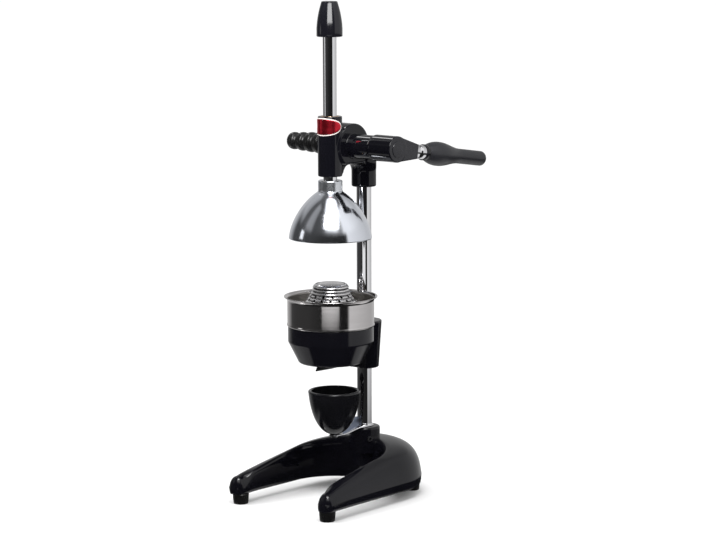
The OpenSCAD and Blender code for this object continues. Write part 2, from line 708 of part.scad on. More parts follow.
module head_casting() {
    color(black_paint) difference() {
        union() {
            translate([0, 0, guide_z]) cylinder(d = guide_d, h = guide_top - guide_z);
            intersection() {
                x_rod(left_x, housing_w / 2, housing_r, pinion_y + 2, pinion_z - 1);
                translate([left_x, -housing_w, head_floor]) cube([housing_w, 3 * housing_w, 2 * housing_w]);
            }
            x_rod(0, joint_x - pass_gap, tube_d / 2, pinion_y, pinion_z);
            // web from the guide tube back to the column socket, arched below
            translate([-web_t / 2, 0, 0]) rotate([90, 0, 90]) linear_extrude(web_t)
                polygon(concat([[0, guide_z], [guide_d / 2, guide_z]],
                    arc(guide_d / 2 + 17, guide_z, 17 - 2, 180, 90, 10),
                    [[throat, head_floor], [throat, head_socket_top - 2], [0, head_socket_top - 2]]));
            translate([0, throat, head_socket_z]) chamfered(head_socket_d / 2,
                head_socket_top - head_socket_z, 3);
            translate([0, pinion_y, head_floor]) linear_extrude(head_socket_top - head_floor - 4)
                polygon([[-housing_w / 2 + 2, 0], [housing_w / 2 - 2, 0],
                    [head_socket_d / 2 - 2, throat - pinion_y], [-head_socket_d / 2 + 2, throat - pinion_y]]);
        }
        translate([0, 0, guide_z - 1]) cylinder(r = ram_r + 1, h = guide_top - guide_z + 2);
        for (z = [guide_z - 1, guide_top - bush_len])
            translate([0, 0, z]) cylinder(r = ram_r + bush_t + fit_gap, h = bush_len + 1);
        x_rod(left_x - 1, gear_w / 2 + 2, cavity_r, pinion_y, pinion_z);
        x_rod(0, joint_x, shaft_r + 1, pinion_y, pinion_z);
        x_rod(joint_x - 22, joint_x + 1, shaft_bush_r + fit_gap, pinion_y, pinion_z);
        translate([0, throat, head_socket_z - 1]) cylinder(r = column_r + fit_gap,
            h = head_bore_top - head_socket_z + 1);
        x_rod(0, head_socket_d, head_screw_d / 2 + fit_gap, throat, head_screw_z);
        for (a = cover_screw_angles) translate([0, pinion_y, pinion_z]) rotate([a, 0, 0])
            x_rod(left_x - 1, left_x + 7, cover_screw_d / 2 + fit_gap, cover_screw_ring, 0);
    }
}
module head_set_screw() {
    color(steel) translate([column_r + fit_gap, throat, head_screw_z]) rotate([0, 90, 0])
        grub(head_screw_d, head_socket_d / 2 - column_r);
}
module guide_bushes() {
    color(bronze) for (z = [guide_z, guide_top - bush_len]) translate([0, 0, z]) difference() {
        cylinder(r = ram_r + bush_t, h = bush_len);
        translate([0, 0, -1]) cylinder(r = ram_r + run_gap, h = bush_len + 2);
    }
}

// A thin oval that follows the guide tube's front; w runs along the curve
module wrapped_oval(r, t, w, h) {
    steps = 36;
    half = w / 2 / r * 180 / PI;
    loft([for (i = [0:steps]) let (
            k = -1 + 2 * i / steps,
            a = -90 + half * sin(90 * k),
            z = max(0.25, h / 2 * sqrt(max(0, 1 - pow(sin(90 * k), 2)))))
        [for (p = [[r, -z], [r + t, -z], [r + t, z], [r, z]]) [p[0] * cos(a), p[0] * sin(a), p[1]]]]);
}
badge_z = guide_top - badge_h / 2 - 1.5;
badge_gap = 0.06;
border_t = 0.5;
field_t = 0.4;
border_w = 1.6;
module badge_border() {
    color(badge_cream) translate([0, 0, badge_z])
        wrapped_oval(guide_d / 2 + badge_gap, border_t, badge_w, badge_h);
}
module badge_plate() {
    color(badge_red) translate([0, 0, badge_z])
        wrapped_oval(guide_d / 2 + 2 * badge_gap + border_t, field_t,
            badge_w - 2 * border_w, badge_h - 2 * border_w);
}

// ---------------------------------------------------------------- left side of the head

module gear_cover() {
    color(black_paint) difference() {
        union() {
            intersection() {
                x_rod(left_x - cover_t, left_x, cover_r, pinion_y, pinion_z);
                translate([left_x - cover_t - 1, 0, head_floor]) cube([cover_t + 2, 3 * cover_r, 3 * cover_r]);
            }
            x_rod(left_x - boss_len, left_x, boss_r, pinion_y, pinion_z);
        }
        x_rod(left_x - boss_len + 6, left_x + 1, shaft_bush_r + fit_gap, pinion_y, pinion_z);
        x_rod(left_x - boss_len - 1, left_x, stud_d / 2 + fit_gap, pinion_y, pinion_z);
        for (a = cover_screw_angles) translate([0, pinion_y, pinion_z]) rotate([a, 0, 0])
            x_rod(left_x - cover_t - 1, left_x + 1, cover_screw_d / 2 + fit_gap, cover_screw_ring, 0);
    }
}
module cover_screws() {
    color(steel) for (a = cover_screw_angles) translate([0, pinion_y, pinion_z]) rotate([a, 0, 0])
        translate([left_x - cover_t - 2.5, cover_screw_ring, 0]) rotate([0, -90, 0])
            socket_screw(cover_screw_d, cover_t + 8.5, cover_screw_d + 2.5, 2.5);
}
module shaft_bushes() {
    color(bronze) for (span = [[left_x - boss_len + 6.2, left_x], [joint_x - 22, joint_x - pass_gap - 0.2]])
        difference() {
            x_rod(span[0], span[1], shaft_bush_r, pinion_y, pinion_z);
            x_rod(span[0] - 1, span[1] + 1, shaft_r + run_gap, pinion_y, pinion_z);
        }
}
side_start = left_x - boss_len - 0.2;
side_wall_end = side_end - 6;
module side_stud() {
    color(steel) x_rod(-side_wall_end, left_x - boss_len + 5.6, stud_d / 2, pinion_y, pinion_z);
}

// Ribbed rubber grip: each rib swells slowly and steps back towards the head
module side_grip() {
    pitch = (side_end + side_start) / side_ribs;
    r0 = side_d / 2;
    color(black_rubber) translate([-side_end, pinion_y, pinion_z]) rotate([0, 90, 0]) difference() {
        rotate_extrude() polygon(concat([[0, 0]],
            [for (i = [0:side_ribs - 1]) let (r = r0 + side_step / 2 * i) each [
                [r - (i == 0 ? 4.5 : 3.2), pitch * i], [r - 1.2, pitch * (i + 0.22)],
                [r, pitch * (i + 0.5)], [r - 0.3, pitch * (i + 0.72)], [r - 2.8, pitch * (i + 0.9)]]],
            [[r0, pitch * side_ribs], [0, pitch * side_ribs]]));
        translate([0, 0, side_end - side_wall_end - 0.5])
            cylinder(r = stud_d / 2 + fit_gap, h = side_end);
    }
}

// ---------------------------------------------------------------- lever and pinion

hub_x = joint_x + hub_w;
hub_r = hub_d / 2;
shaft_end = hub_x - 6;
key_w = 5;
pin_d = 6;
pin_x = joint_x + 11;
pin_len = hub_r + shaft_r + 1.5;
cap_disc_r = 12;
cap_disc_h = 1;
rod_start = 18;
ferrule_start = flat_len;
ring_start = ferrule_start + ferrule_len;
grip_start = ring_start + ring_t;
rod_end = grip_start + grip_len - 18;
lever_x = hub_x - flat_t / 2;

module pinion_shaft() {
    color(steel) difference() {
        x_rod(left_x - boss_len + 6.6, shaft_end, shaft_r, pinion_y, pinion_z);
        translate([-gear_w / 2 + 2, pinion_y - key_w / 2, pinion_z + shaft_r - 2.5])
            cube([gear_w - 4, key_w, 5]);
        translate([pin_x, pinion_y, pinion_z - hub_r]) cylinder(r = pin_d / 2 + fit_gap, h = hub_d);
    }
}
module pinion_gear() {
    color(steel) difference() {
        translate([-gear_w / 2, pinion_y, pinion_z]) rotate([90, 0, 90])
            linear_extrude(gear_w) pinion_outline();
        x_rod(-gear_w, gear_w, shaft_r + fit_gap, pinion_y, pinion_z);
        translate([-gear_w, pinion_y - key_w / 2 - fit_gap, pinion_z])
            cube([2 * gear_w, key_w + 2 * fit_gap, shaft_r + 2.6]);
    }
}
module gear_key() {
    color(steel) translate([-gear_w / 2 + 2, pinion_y - key_w / 2, pinion_z + shaft_r - 2.5])
        cube([gear_w - 4, key_w, 5]);
}

// Turns a child, drawn along +Z from the pinion axis, to lie along the resting lever
module on_lever() {
    translate([lever_x, pinion_y, pinion_z]) rotate([-90 - lever_droop, 0, 0]) children();
}

// Tangent outline of the flat arm: a round end at the hub and a straight end at the ferrule
module flat_arm_outline() {
    r = hub_r - 0.4;
    d = norm([flat_len, flat_end_h / 2]);
    a = atan2(flat_end_h / 2, flat_len) + acos(r / d);
    circle(r = r - 1);
    polygon([[0, 0], [r * cos(a), r * sin(a)], [flat_len, flat_end_h / 2],
        [flat_len, -flat_end_h / 2], [r * cos(a), -r * sin(a)]]);
}
module lever_hub() {
    bevel = 2;
    color(black_paint) difference() {
        union() {
            translate([joint_x, pinion_y, pinion_z]) rotate([0, 90, 0]) cylinder(r = hub_r, h = hub_w);
            translate([hub_x - flat_t, pinion_y, pinion_z]) rotate([90, 0, 90])
                rotate([0, 0, -lever_droop]) linear_extrude(flat_t) flat_arm_outline();
        }
        x_rod(joint_x - 1, shaft_end, shaft_r + fit_gap, pinion_y, pinion_z);
        x_rod(shaft_end - 0.01, hub_x + 1, cap_disc_r - 5, pinion_y, pinion_z);
        translate([pin_x, pinion_y, pinion_z - hub_r - 1])
            cylinder(r = pin_d / 2 + fit_gap, h = pin_len + 3);
        on_lever() translate([0, 0, rod_start - 1]) cylinder(r = rod_r + fit_gap, h = flat_len);
        // groove where the turning hub meets the head
        translate([joint_x, pinion_y, pinion_z]) rotate([0, 90, 0]) rotate_extrude()
            polygon([[hub_r - bevel, -0.01], [hub_r + 1, -0.01], [hub_r + 1, bevel + 1]]);
    }
}
module hub_pin() {
    color(steel) translate([pin_x, pinion_y, pinion_z - hub_r + 1.5]) cylinder(d = pin_d, h = pin_len);
}
module hub_cap() {
    color(black_paint) {
        x_rod(hub_x, hub_x + cap_disc_h, cap_disc_r, pinion_y, pinion_z);
        x_rod(shaft_end + 1, hub_x + 0.1, cap_disc_r - 5 - fit_gap, pinion_y, pinion_z);
    }
}
module lever_rod() {
    color(steel) on_lever() translate([0, 0, rod_start]) cylinder(r = rod_r, h = rod_end - rod_start);
}
module lever_ferrule() {
    color(bright_steel) on_lever() translate([0, 0, ferrule_start]) difference() {
        rotate_extrude() polygon([[0, 0], [ferrule_d / 2 - 1.5, 0], [ferrule_d / 2 - 1.5, ferrule_len * 0.55],
            [ferrule_d / 2 + 1, ferrule_len * 0.75], [ferrule_d / 2 + 1, ferrule_len], [0, ferrule_len]]);
        translate([0, 0, -1]) cylinder(r = rod_r + fit_gap, h = ferrule_len + 2);
    }
}
module lever_ring() {
    color(black_plastic) on_lever() translate([0, 0, ring_start]) difference() {
        rotate_extrude() polygon([[0, 0], [ferrule_d / 2 + 1, 0], [ferrule_d / 2 + 2.3, 1.4],
            [ferrule_d / 2 + 2.3, ring_t - 1.4], [ferrule_d / 2 + 1, ring_t], [0, ring_t]]);
        translate([0, 0, -1]) cylinder(r = rod_r + fit_gap, h = ring_t + 2);
    }
}

// Radius of the grip at a share k of its length: a swelling near the ring, then a straight tail
grip_swell_at = 0.21;
function grip_r(k) = let (
        rise = min(1, k / grip_swell_at),
        fall = max(0, min(1, (k - grip_swell_at) / 0.36)),
        big = grip_d / 2,
        tail = grip_tail_d / 2)
    k < grip_swell_at ? big - 7 * pow(1 - rise, 2.2)
    : tail + (big - tail) * (1 + cos(180 * fall)) / 2;
module handle_grip() {
    end_r = 7;
    tail = grip_tail_d / 2;
    color(black_plastic) on_lever() translate([0, 0, grip_start]) difference() {
        rotate_extrude() polygon(concat([[0, 0]],
            [for (i = [0:30]) let (k = 0.62 * i / 30) [grip_r(k), grip_len * k]],
            arc(tail - end_r, grip_len - end_r, end_r, 0, 90, 10), [[0, grip_len]]));
        translate([0, 0, -1]) cylinder(r = rod_r + fit_gap, h = rod_end - grip_start + 2);
    }
}

// ---------------------------------------------------------------- ram, cap and bell

rack_below = 4;
rack_above = 24;
rod_top = cap_z + cap_h - 18;
module ram_rod() {
    color(bright_steel) difference() {
        translate([0, 0, ram_foot]) cylinder(r = ram_r, h = rod_top - ram_foot);
        translate([-ram_d, rack_tip, pinion_z - rack_pitch * (rack_below + 0.7)])
            cube([2 * ram_d, ram_d, rack_pitch * (rack_below + rack_above + 1.4)]);
        for (i = [-rack_below:rack_above]) let (
                half = rack_pitch / 4 + backlash / 4,
                low = half + (rack_root - rack_line) * tan(20),
                high = half + (rack_tip + 0.5 - rack_line) * tan(20),
                z = pinion_z + i * rack_pitch)
            translate([-ram_d, 0, 0]) rotate([90, 0, 90]) linear_extrude(2 * ram_d)
                polygon([[rack_root, z - low], [rack_tip + 0.5, z - high],
                    [rack_tip + 0.5, z + high], [rack_root, z + low]]);
        translate([0, 0, ram_foot - 1]) cylinder(r = 4 + fit_gap, h = 22);
    }
}

// The bumper cap: a blunt ogive with a flat top
module ram_cap() {
    top_r = cap_d * 0.31;
    color(black_plastic) translate([0, 0, cap_z]) difference() {
        rotate_extrude() polygon(concat([[0, 0], [cap_d / 2 - 0.8, 0], [cap_d / 2, 0.8], [cap_d / 2, 8]],
            [for (i = [1:10]) let (k = i / 10)
                [top_r + (cap_d / 2 - top_r) * (1 - pow(k, 1.9)), 8 + (cap_h - 9) * k]],
            [[top_r - 1.2, cap_h], [0, cap_h]]));
        translate([0, 0, -1]) cylinder(r = ram_r + fit_gap, h = rod_top - cap_z + 1);
    }
}

bell_r = bell_d / 2;
bell_power = 1.6;
bell_shoulder = bell_dome * pow(1 - pow(neck_d / 2 / bell_r, bell_power), 1 / bell_power);
bell_roof_r = 16;
bell_screw_d = 8;
function bell_top_of(r_in) = let (r = bell_r - bell_wall)
    bell_hollow * pow(1 - pow(r_in / r, bell_power), 1 / bell_power);
module press_bell() {
    color(steel) translate([0, 0, bell_z]) difference() {
        rotate_extrude() polygon(concat(super_quarter(bell_r, bell_dome, bell_power, bell_shoulder, 24),
            [[neck_d / 2, neck_top - bell_z - 1.5], [neck_d / 2 - 1.5, neck_top - bell_z],
             [0, neck_top - bell_z], [0, 0]]));
        rotate_extrude() polygon(concat([[0, -1], [bell_r - bell_wall, -1]],
            super_quarter(bell_r - bell_wall, bell_hollow, bell_power, bell_top_of(bell_roof_r), 20),
            [[0, bell_top_of(bell_roof_r)]]));
        translate([0, 0, ram_foot - bell_z]) cylinder(r = ram_r + fit_gap, h = neck_top);
        cylinder(r = bell_screw_d / 2 + fit_gap, h = bell_dome);
    }
}
module bell_screw() {
    under = bell_z + bell_top_of(bell_roof_r);
    color(steel) difference() {
        union() {
            translate([0, 0, under - 5]) cylinder(d = bell_screw_d + 6, h = 5);
            translate([0, 0, under - 1]) cylinder(d = bell_screw_d, h = ram_foot - under + 19);
        }
        translate([0, 0, under - 6]) cylinder(d = 6.5, h = 4, $fn = 6);
    }
}

base_casting();
front_feet();
rear_feet();
foot_screws();
column_tube();
base_set_screw();
cup_arm();
drip_cup();
cup_screw();
holder_casting();
holder_set_screws();
juice_funnel();
steel_bowl();
strainer_cone();
head_casting();
head_set_screw();
guide_bushes();
badge_border();
badge_plate();
gear_cover();
cover_screws();
shaft_bushes();
side_stud();
side_grip();
pinion_shaft();
pinion_gear();
gear_key();
lever_hub();
hub_pin();
hub_cap();
lever_rod();
lever_ferrule();
lever_ring();
handle_grip();
ram_rod();
ram_cap();
press_bell();
bell_screw();
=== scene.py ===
"""Looks of the lever citrus juice press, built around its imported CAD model."""

import json
from math import acos, asin, atan2, cos, dist, hypot, pi, radians, sin, sqrt, tan

import bmesh
import bpy
import numpy as np
from mathutils import Matrix, Vector


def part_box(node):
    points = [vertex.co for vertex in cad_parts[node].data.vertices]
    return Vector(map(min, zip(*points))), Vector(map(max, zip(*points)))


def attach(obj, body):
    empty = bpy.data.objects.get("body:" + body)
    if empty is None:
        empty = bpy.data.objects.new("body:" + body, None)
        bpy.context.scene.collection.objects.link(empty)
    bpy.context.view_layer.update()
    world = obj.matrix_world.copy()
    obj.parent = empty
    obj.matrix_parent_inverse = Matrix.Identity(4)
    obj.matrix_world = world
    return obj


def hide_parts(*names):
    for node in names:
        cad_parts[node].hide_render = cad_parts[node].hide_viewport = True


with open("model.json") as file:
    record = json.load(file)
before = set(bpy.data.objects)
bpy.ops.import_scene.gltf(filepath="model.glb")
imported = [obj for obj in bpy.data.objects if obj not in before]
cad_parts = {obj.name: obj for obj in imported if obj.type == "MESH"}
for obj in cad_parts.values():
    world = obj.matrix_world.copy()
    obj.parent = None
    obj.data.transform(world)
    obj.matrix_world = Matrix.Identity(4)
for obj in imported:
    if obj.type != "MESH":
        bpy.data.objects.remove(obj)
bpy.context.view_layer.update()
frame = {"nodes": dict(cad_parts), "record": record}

MM = 0.001
JOINTS = {j["name"]: j for j in frame["record"]["behaviour"]["joints"]}
PINION = Vector(JOINTS["lever_turn"]["pos_m"]) / MM
THROAT = JOINTS["cup_swing"]["pos_m"][1] / MM  # from the ram's axis back to the column's
ON_COLUMN = Matrix.Translation((0, THROAT, 0))
# Radii of the bores round the column, the ram and the lever's rod
COLUMN_BORE = 11.05
RAM_BORE = 10.05
ROD_BORE = 6.05


# ---- mesh helpers, in millimetres


def extent(node):
    """Lowest and highest corner of a CAD node in millimetres."""
    return [Vector(corner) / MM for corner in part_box(node)]


def shade(obj, angle):
    """Shades smooth, with a sharp edge wherever two faces meet at more than an angle in degrees."""
    for face in obj.data.polygons:
        face.use_smooth = True
    obj.data.set_sharp_from_angle(angle=radians(angle))


def put(name, data):
    """Puts a mesh, lamp or camera in the scene as an object."""
    obj = bpy.data.objects.new(name, data)
    bpy.context.collection.objects.link(obj)
    return obj


def to_object(name, bm, angle=40.0):
    """Turns a bmesh in millimetres into a shaded object in metres."""
    bmesh.ops.remove_doubles(bm, verts=bm.verts, dist=1e-4)
    bmesh.ops.recalc_face_normals(bm, faces=bm.faces)
    bmesh.ops.scale(bm, vec=(MM, MM, MM), verts=bm.verts)
    mesh = bpy.data.meshes.new(name)
    bm.to_mesh(mesh)
    bm.free()
    obj = put(name, mesh)
    shade(obj, angle)
    return obj


def arc(cx, cy, r, a0, a1, n):
    """Points of an arc about (cx, cy), angles in degrees."""
    angles = [radians(a0 + (a1 - a0) * i / n) for i in range(n + 1)]
    return [(cx + r * cos(a), cy + r * sin(a)) for a in angles]


def near(x, y, *offsets):
    """Points of an outline, given by their offsets from (x, y)."""
    return [(x + dx, y + dy) for dx, dy in offsets]


def rounded(points, radii, steps=4):
    """Rounds the corners of an open outline; radii gives each point's radius."""
    out = []
    for i, (p, r) in enumerate(zip(points, radii)):
        if r == 0:
            out.append(p)
            continue
        a, b, c = Vector(points[i - 1]), Vector(p), Vector(points[i + 1])
        before, after = a - b, c - b
        r = min(r, before.length * 0.49, after.length * 0.49)
        start, end = b + before.normalized() * r, b + after.normalized() * r
        for k in range(steps + 1):
            t = k / steps
            q = start * (1 - t) ** 2 + b * 2 * t * (1 - t) + end * t**2
            out.append((q.x, q.y))
    return out


def held(outline):
    """Adds a point just inside each end of a long straight side, so its shading stays flat between."""
    points = [outline[0]]
    for a, b in zip(outline, outline[1:]):
        length = dist(a, b)
        if length > 8 and min(a[0], b[0]) > 1e-4:
            for share in (0.4 / length, 1 - 0.4 / length):
                points.append(tuple(p + (q - p) * share for p, q in zip(a, b)))
        points.append(b)
    return points


def lathe(name, outline, place=Matrix.Identity(4), sides=96, angle=40.0):
    """Spins an outline of (radius, height) points about its axis; place carries it to its spot."""
    bm = bmesh.new()
    rings = []
    for r, h in held(outline):
        if r < 1e-4:
            rings.append([bm.verts.new((0, 0, h))])
            continue
        angles = [2 * pi * i / sides for i in range(sides)]
        rings.append([bm.verts.new((r * cos(a), r * sin(a), h)) for a in angles])
    for a, b in zip(rings, rings[1:]):
        for i in range(sides):
            j = (i + 1) % sides
            quad = [a[i % len(a)], a[j % len(a)], b[j % len(b)], b[i % len(b)]]
            corners = list(dict.fromkeys(quad))
            if len(corners) > 2:
                bm.faces.new(corners)
    bmesh.ops.transform(bm, matrix=place, verts=bm.verts)
    return to_object(name, bm, angle)


def plug(name, r, start, end, place, sides=64):
    """A plain cylinder, to cut a hole with."""
    return lathe(name, [(0, start), (r, start), (r, end), (0, end)], place, sides)


def along_x(x):
    """Place for a part drawn along +Z that runs along +X from x, on the pinion's axis."""
    return Matrix.Translation((x, *PINION.yz)) @ Matrix.Rotation(radians(90), 4, "Y")


def loft(name, rings, angle=40.0):
    """Skins a row of closed rings of points and caps both ends."""
    bm = bmesh.new()
    rows = [[bm.verts.new(p) for p in ring] for ring in rings]
    count = len(rows[0])
    for a, b in zip(rows, rows[1:]):
        for i in range(count):
            j = (i + 1) % count
            bm.faces.new((a[i], a[j], b[j], b[i]))
    bm.faces.new(list(reversed(rows[0])))
    bm.faces.new(rows[-1])
    return to_object(name, bm, angle)


def modify(obj, kind, **settings):
    """Adds a modifier and applies it, so the mesh keeps its final shape."""
    mod = obj.modifiers.new(kind.lower(), kind)
    for key, value in settings.items():
        setattr(mod, key, value)
    deps = bpy.context.evaluated_depsgraph_get()
    mesh = bpy.data.meshes.new_from_object(obj.evaluated_get(deps))
    obj.modifiers.clear()
    old = obj.data
    obj.data = mesh
    bpy.data.meshes.remove(old)


def cut(obj, tool):
    """Cuts the solid of tool out of obj, and deletes tool."""
    modify(obj, "BOOLEAN", operation="DIFFERENCE", object=tool, solver="EXACT")
    bpy.data.objects.remove(tool)


def dress(obj, body, slot, node, look=None):
    """Gives a piece the material of its record slot, and hangs it on its body in place of a CAD node.
    The material is the slot's own, unless look names another."""
    obj.data.materials.clear()
    obj.data.materials.append(MATERIALS[look or slot])
    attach(obj, body)
    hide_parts(node)


def turned(name, outline, body, slot, node, look=None, **shape):
    """A turned piece, spun and dressed; shape goes on to lathe."""
    obj = lathe(name, outline, **shape)
    dress(obj, body, slot, node, look=look)
    return obj


def add_look(obj, look, where):
    """Gives the faces that where(center, normal) picks one more material."""
    obj.data.materials.append(MATERIALS[look])
    last = len(obj.data.materials) - 1
    for face in obj.data.polygons:
        if where(face.center, face.normal):
            face.material_index = last


# ---- cast shapes as distance fields


def union(a, b, k):
    """Union with a fillet of about k millimetres."""
    h = np.clip(0.5 + 0.5 * (b - a) / k, 0, 1)
    return b * (1 - h) + a * h - k * h * (1 - h)


def meet(a, b, k):
    """Intersection with an edge rounded by about k millimetres."""
    return -union(-a, -b, k)


def rod(p, axis, centre, r, start, end, k=1.5):
    """Distance to a cylinder along an axis (0, 1 or 2) with rounded ends."""
    others = [i for i in range(3) if i != axis]
    d = np.hypot(p[..., others[0]] - centre[0], p[..., others[1]] - centre[1]) - r
    return meet(d, np.maximum(start - p[..., axis], p[..., axis] - end), k)


def polygon(x, y, points):
    """Distance to a closed polygon, negative inside."""
    best = np.full(x.shape, 1e9)
    inside = np.zeros(x.shape, bool)
    for (ax, ay), (bx, by) in zip(points, points[1:] + points[:1]):
        ex, ey = bx - ax, by - ay
        wx, wy = x - ax, y - ay
        t = np.clip((wx * ex + wy * ey) / (ex * ex + ey * ey), 0, 1)
        best = np.minimum(best, np.hypot(wx - ex * t, wy - ey * t))
        if ay != by:
            inside ^= ((ay > y) != (by > y)) & (wx < ex * wy / ey)
    return np.where(inside, -best, best)


def slope_of(field, p, h=0.05):
    """Gradient of a distance field at each point."""
    steps = np.eye(3) * h
    return np.stack([(field(p + s) - field(p - s)) / (2 * h) for s in steps], axis=-1)


def cast(name, field, lo, hi, cell):
    """Meshes the surface where a distance field is zero, with one point in each cell that it crosses."""
    lo, hi = np.array(lo, float), np.array(hi, float)
    counts = np.ceil((hi - lo) / cell).astype(int) + 1
    axes = [lo[i] + cell * np.arange(counts[i]) for i in range(3)]
    grid = np.stack(np.meshgrid(*axes, indexing="ij"), axis=-1)
    inside = field(grid) < 0
    corners = sum(
        inside[i : counts[0] - 1 + i, j : counts[1] - 1 + j, k : counts[2] - 1 + k].astype(int)
        for i in (0, 1) for j in (0, 1) for k in (0, 1)
    )
    active = (corners > 0) & (corners < 8)
    index = np.full(active.shape, -1)
    index[active] = np.arange(active.sum())
    points = lo + (np.argwhere(active) + 0.5) * cell
    for _ in range(12):
        slope = slope_of(field, points)
        length = np.maximum((slope**2).sum(-1, keepdims=True), 0.05)
        move = -field(points)[:, None] * slope / length
        points = points + np.clip(move, -cell * 0.5, cell * 0.5)
    quads = []
    for axis in range(3):
        u, v = (axis + 1) % 3, (axis + 2) % 3
        cross = np.argwhere(inside != np.roll(inside, -1, axis))
        cross = cross[(cross[:, axis] < counts[axis] - 1) & (cross[:, u] > 0) & (cross[:, v] > 0)]
        cross = cross[(cross[:, u] < counts[u] - 1) & (cross[:, v] < counts[v] - 1)]
        du, dv = np.eye(3, dtype=int)[u], np.eye(3, dtype=int)[v]
        four = np.stack([index[tuple((cross - s).T)] for s in (0 * du, du, du + dv, dv)], axis=-1)
        flip = inside[tuple(cross.T)]
        four[~flip] = four[~flip][:, ::-1]
        quads.append(four)
    quads = np.concatenate(quads)
    mesh = bpy.data.meshes.new(name)
    mesh.from_pydata((points * MM).tolist(), [], quads.tolist())
    mesh.update()
    for face in mesh.polygons:
        face.use_smooth = True
    slope = slope_of(field, points)
    slope /= np.maximum(np.linalg.norm(slope, axis=-1, keepdims=True), 1e-6)
    mesh.normals_split_custom_set_from_vertices(slope.tolist())
    return put(name, mesh)


# ---- materials


def new_node(tree, kind, inputs, **settings):
    """A shader node. Each input gets a value, or is linked to another node's output."""
    node = tree.nodes.new("ShaderNode" + kind)
    for key, value in settings.items():
        setattr(node, key, value)
    for key, value in inputs.items():
        if isinstance(value, bpy.types.NodeSocket):
            tree.links.new(value, node.inputs[key])
        else:
            node.inputs[key].default_value = value
    return node


def material(name, color, roughness, metallic=0.0, specular=0.5):
    """A principled material, its node tree and its shader, ready for detail."""
    mat = bpy.data.materials.new(name)
    mat.use_nodes = True
    shader = mat.node_tree.nodes["Principled BSDF"]
    shader.inputs["Base Color"].default_value = (*color, 1)
    shader.inputs["Roughness"].default_value = roughness
    shader.inputs["Metallic"].default_value = metallic
    shader.inputs["Specular IOR Level"].default_value = specular
    return mat, mat.node_tree, shader


def noise(tree, scale, detail=3.0, stretch=(1, 1, 1)):
    """Noise over the object's own space, stretched along its axes."""
    coords = new_node(tree, "TexCoord", {})
    mapping = new_node(tree, "Mapping", {"Scale": stretch, "Vector": coords.outputs["Object"]})
    inputs = {"Scale": scale, "Detail": detail, "Vector": mapping.outputs["Vector"]}
    return new_node(tree, "TexNoise", inputs).outputs["Fac"]


def remap(tree, value, low_to, high_to):
    """Maps a noise value to a range of roughness."""
    inputs = {"From Min": 0.3, "From Max": 0.7, "To Min": low_to, "To Max": high_to, "Value": value}
    return new_node(tree, "MapRange", inputs).outputs["Result"]


def bump(tree, shader, height, strength, distance):
    """Relief of a given height in metres, from a noise value."""
    node = new_node(tree, "Bump", {"Strength": strength, "Distance": distance, "Height": height})
    tree.links.new(node.outputs["Normal"], shader.inputs["Normal"])


def blend_color(tree, shader, value, dark, light):
    """Base colour that wanders between two close tones."""
    ramp = new_node(tree, "ValToRGB", {"Fac": value})
    for element, position, color in zip(ramp.color_ramp.elements, (0.35, 0.65), (dark, light)):
        element.position = position
        element.color = (*color, 1)
    tree.links.new(ramp.outputs["Color"], shader.inputs["Base Color"])


def surface(name, color, roughness, marks, rough, relief, tones, tone_scale, **more):
    """A material with fine marks and a slow change of tone.
    marks: scale, detail and stretch of the noise; rough: the range it gives the roughness;
    relief: strength and distance of its bump; tones: the darkest and lightest base colour."""
    mat, tree, shader = material(name, color, roughness, **more)
    fine = noise(tree, *marks)
    tree.links.new(remap(tree, fine, *rough), shader.inputs["Roughness"])
    bump(tree, shader, fine, *relief)
    blend_color(tree, shader, noise(tree, tone_scale), *tones)
    return mat


def polished_metal(name, color, roughness, streak, rough_spread):
    """Polished metal with a trace of turning or drawing marks; streak stretches them."""
    tones = (tuple(c * 0.96 for c in color), color)
    rough = (roughness, roughness + rough_spread)
    return surface(name, color, roughness, (60, 4, streak), rough, (0.03, 0.0002), tones, 7, metallic=1.0)


def plastic(name, dark, light, roughness, grain_scale, grain_strength):
    """Moulded plastic with a fine grain."""
    rough = (roughness - 0.04, roughness + 0.05)
    relief = (grain_strength, 0.0001)
    return surface(name, light, roughness, (grain_scale, 3), rough, relief, (dark, light), 11)


# Glossy enamel with a faint orange peel, the duller enamel of the lever hub's machined faces, and rubber
PAINT_TONES = ((0.0022, 0.0022, 0.0034), (0.0042, 0.0041, 0.0062))
SATIN_TONES = ((0.007, 0.007, 0.0095), (0.011, 0.011, 0.0145))
RUBBER_TONES = ((0.0035, 0.0035, 0.0035), (0.007, 0.007, 0.007))
MATERIALS = {
    "black_paint": surface("black_enamel", (0.003, 0.003, 0.0035), 0.07, (55, 2), (0.04, 0.07),
                           (0.03, 0.0004), PAINT_TONES, 9, specular=0.36),
    "satin_paint": surface("black_satin_enamel", (0.008, 0.008, 0.009), 0.25, (220, 3), (0.2, 0.3),
                           (0.08, 0.0003), SATIN_TONES, 14),
    "black_rubber": surface("black_rubber", (0.005, 0.005, 0.005), 0.3, (320, 4), (0.24, 0.36),
                            (0.12, 0.0003), RUBBER_TONES, 18, specular=0.45),
}
# Darkest and lightest tone, roughness, grain scale and strength
PLASTICS = {
    "black_gloss_plastic": ((0.003, 0.003, 0.004), (0.005, 0.005, 0.0065), 0.16, 60, 0.01),
    "black_satin_plastic": ((0.006, 0.006, 0.0065), (0.01, 0.01, 0.011), 0.32, 300, 0.1),
    "badge_cream": ((0.62, 0.56, 0.54), (0.7, 0.65, 0.62), 0.25, 200, 0.03),
    "grip_plastic": ((0.0105, 0.0105, 0.0135), (0.016, 0.016, 0.0195), 0.36, 260, 0.12),
    "cap_plastic": ((0.004, 0.004, 0.006), (0.008, 0.008, 0.011), 0.14, 60, 0.01),
}
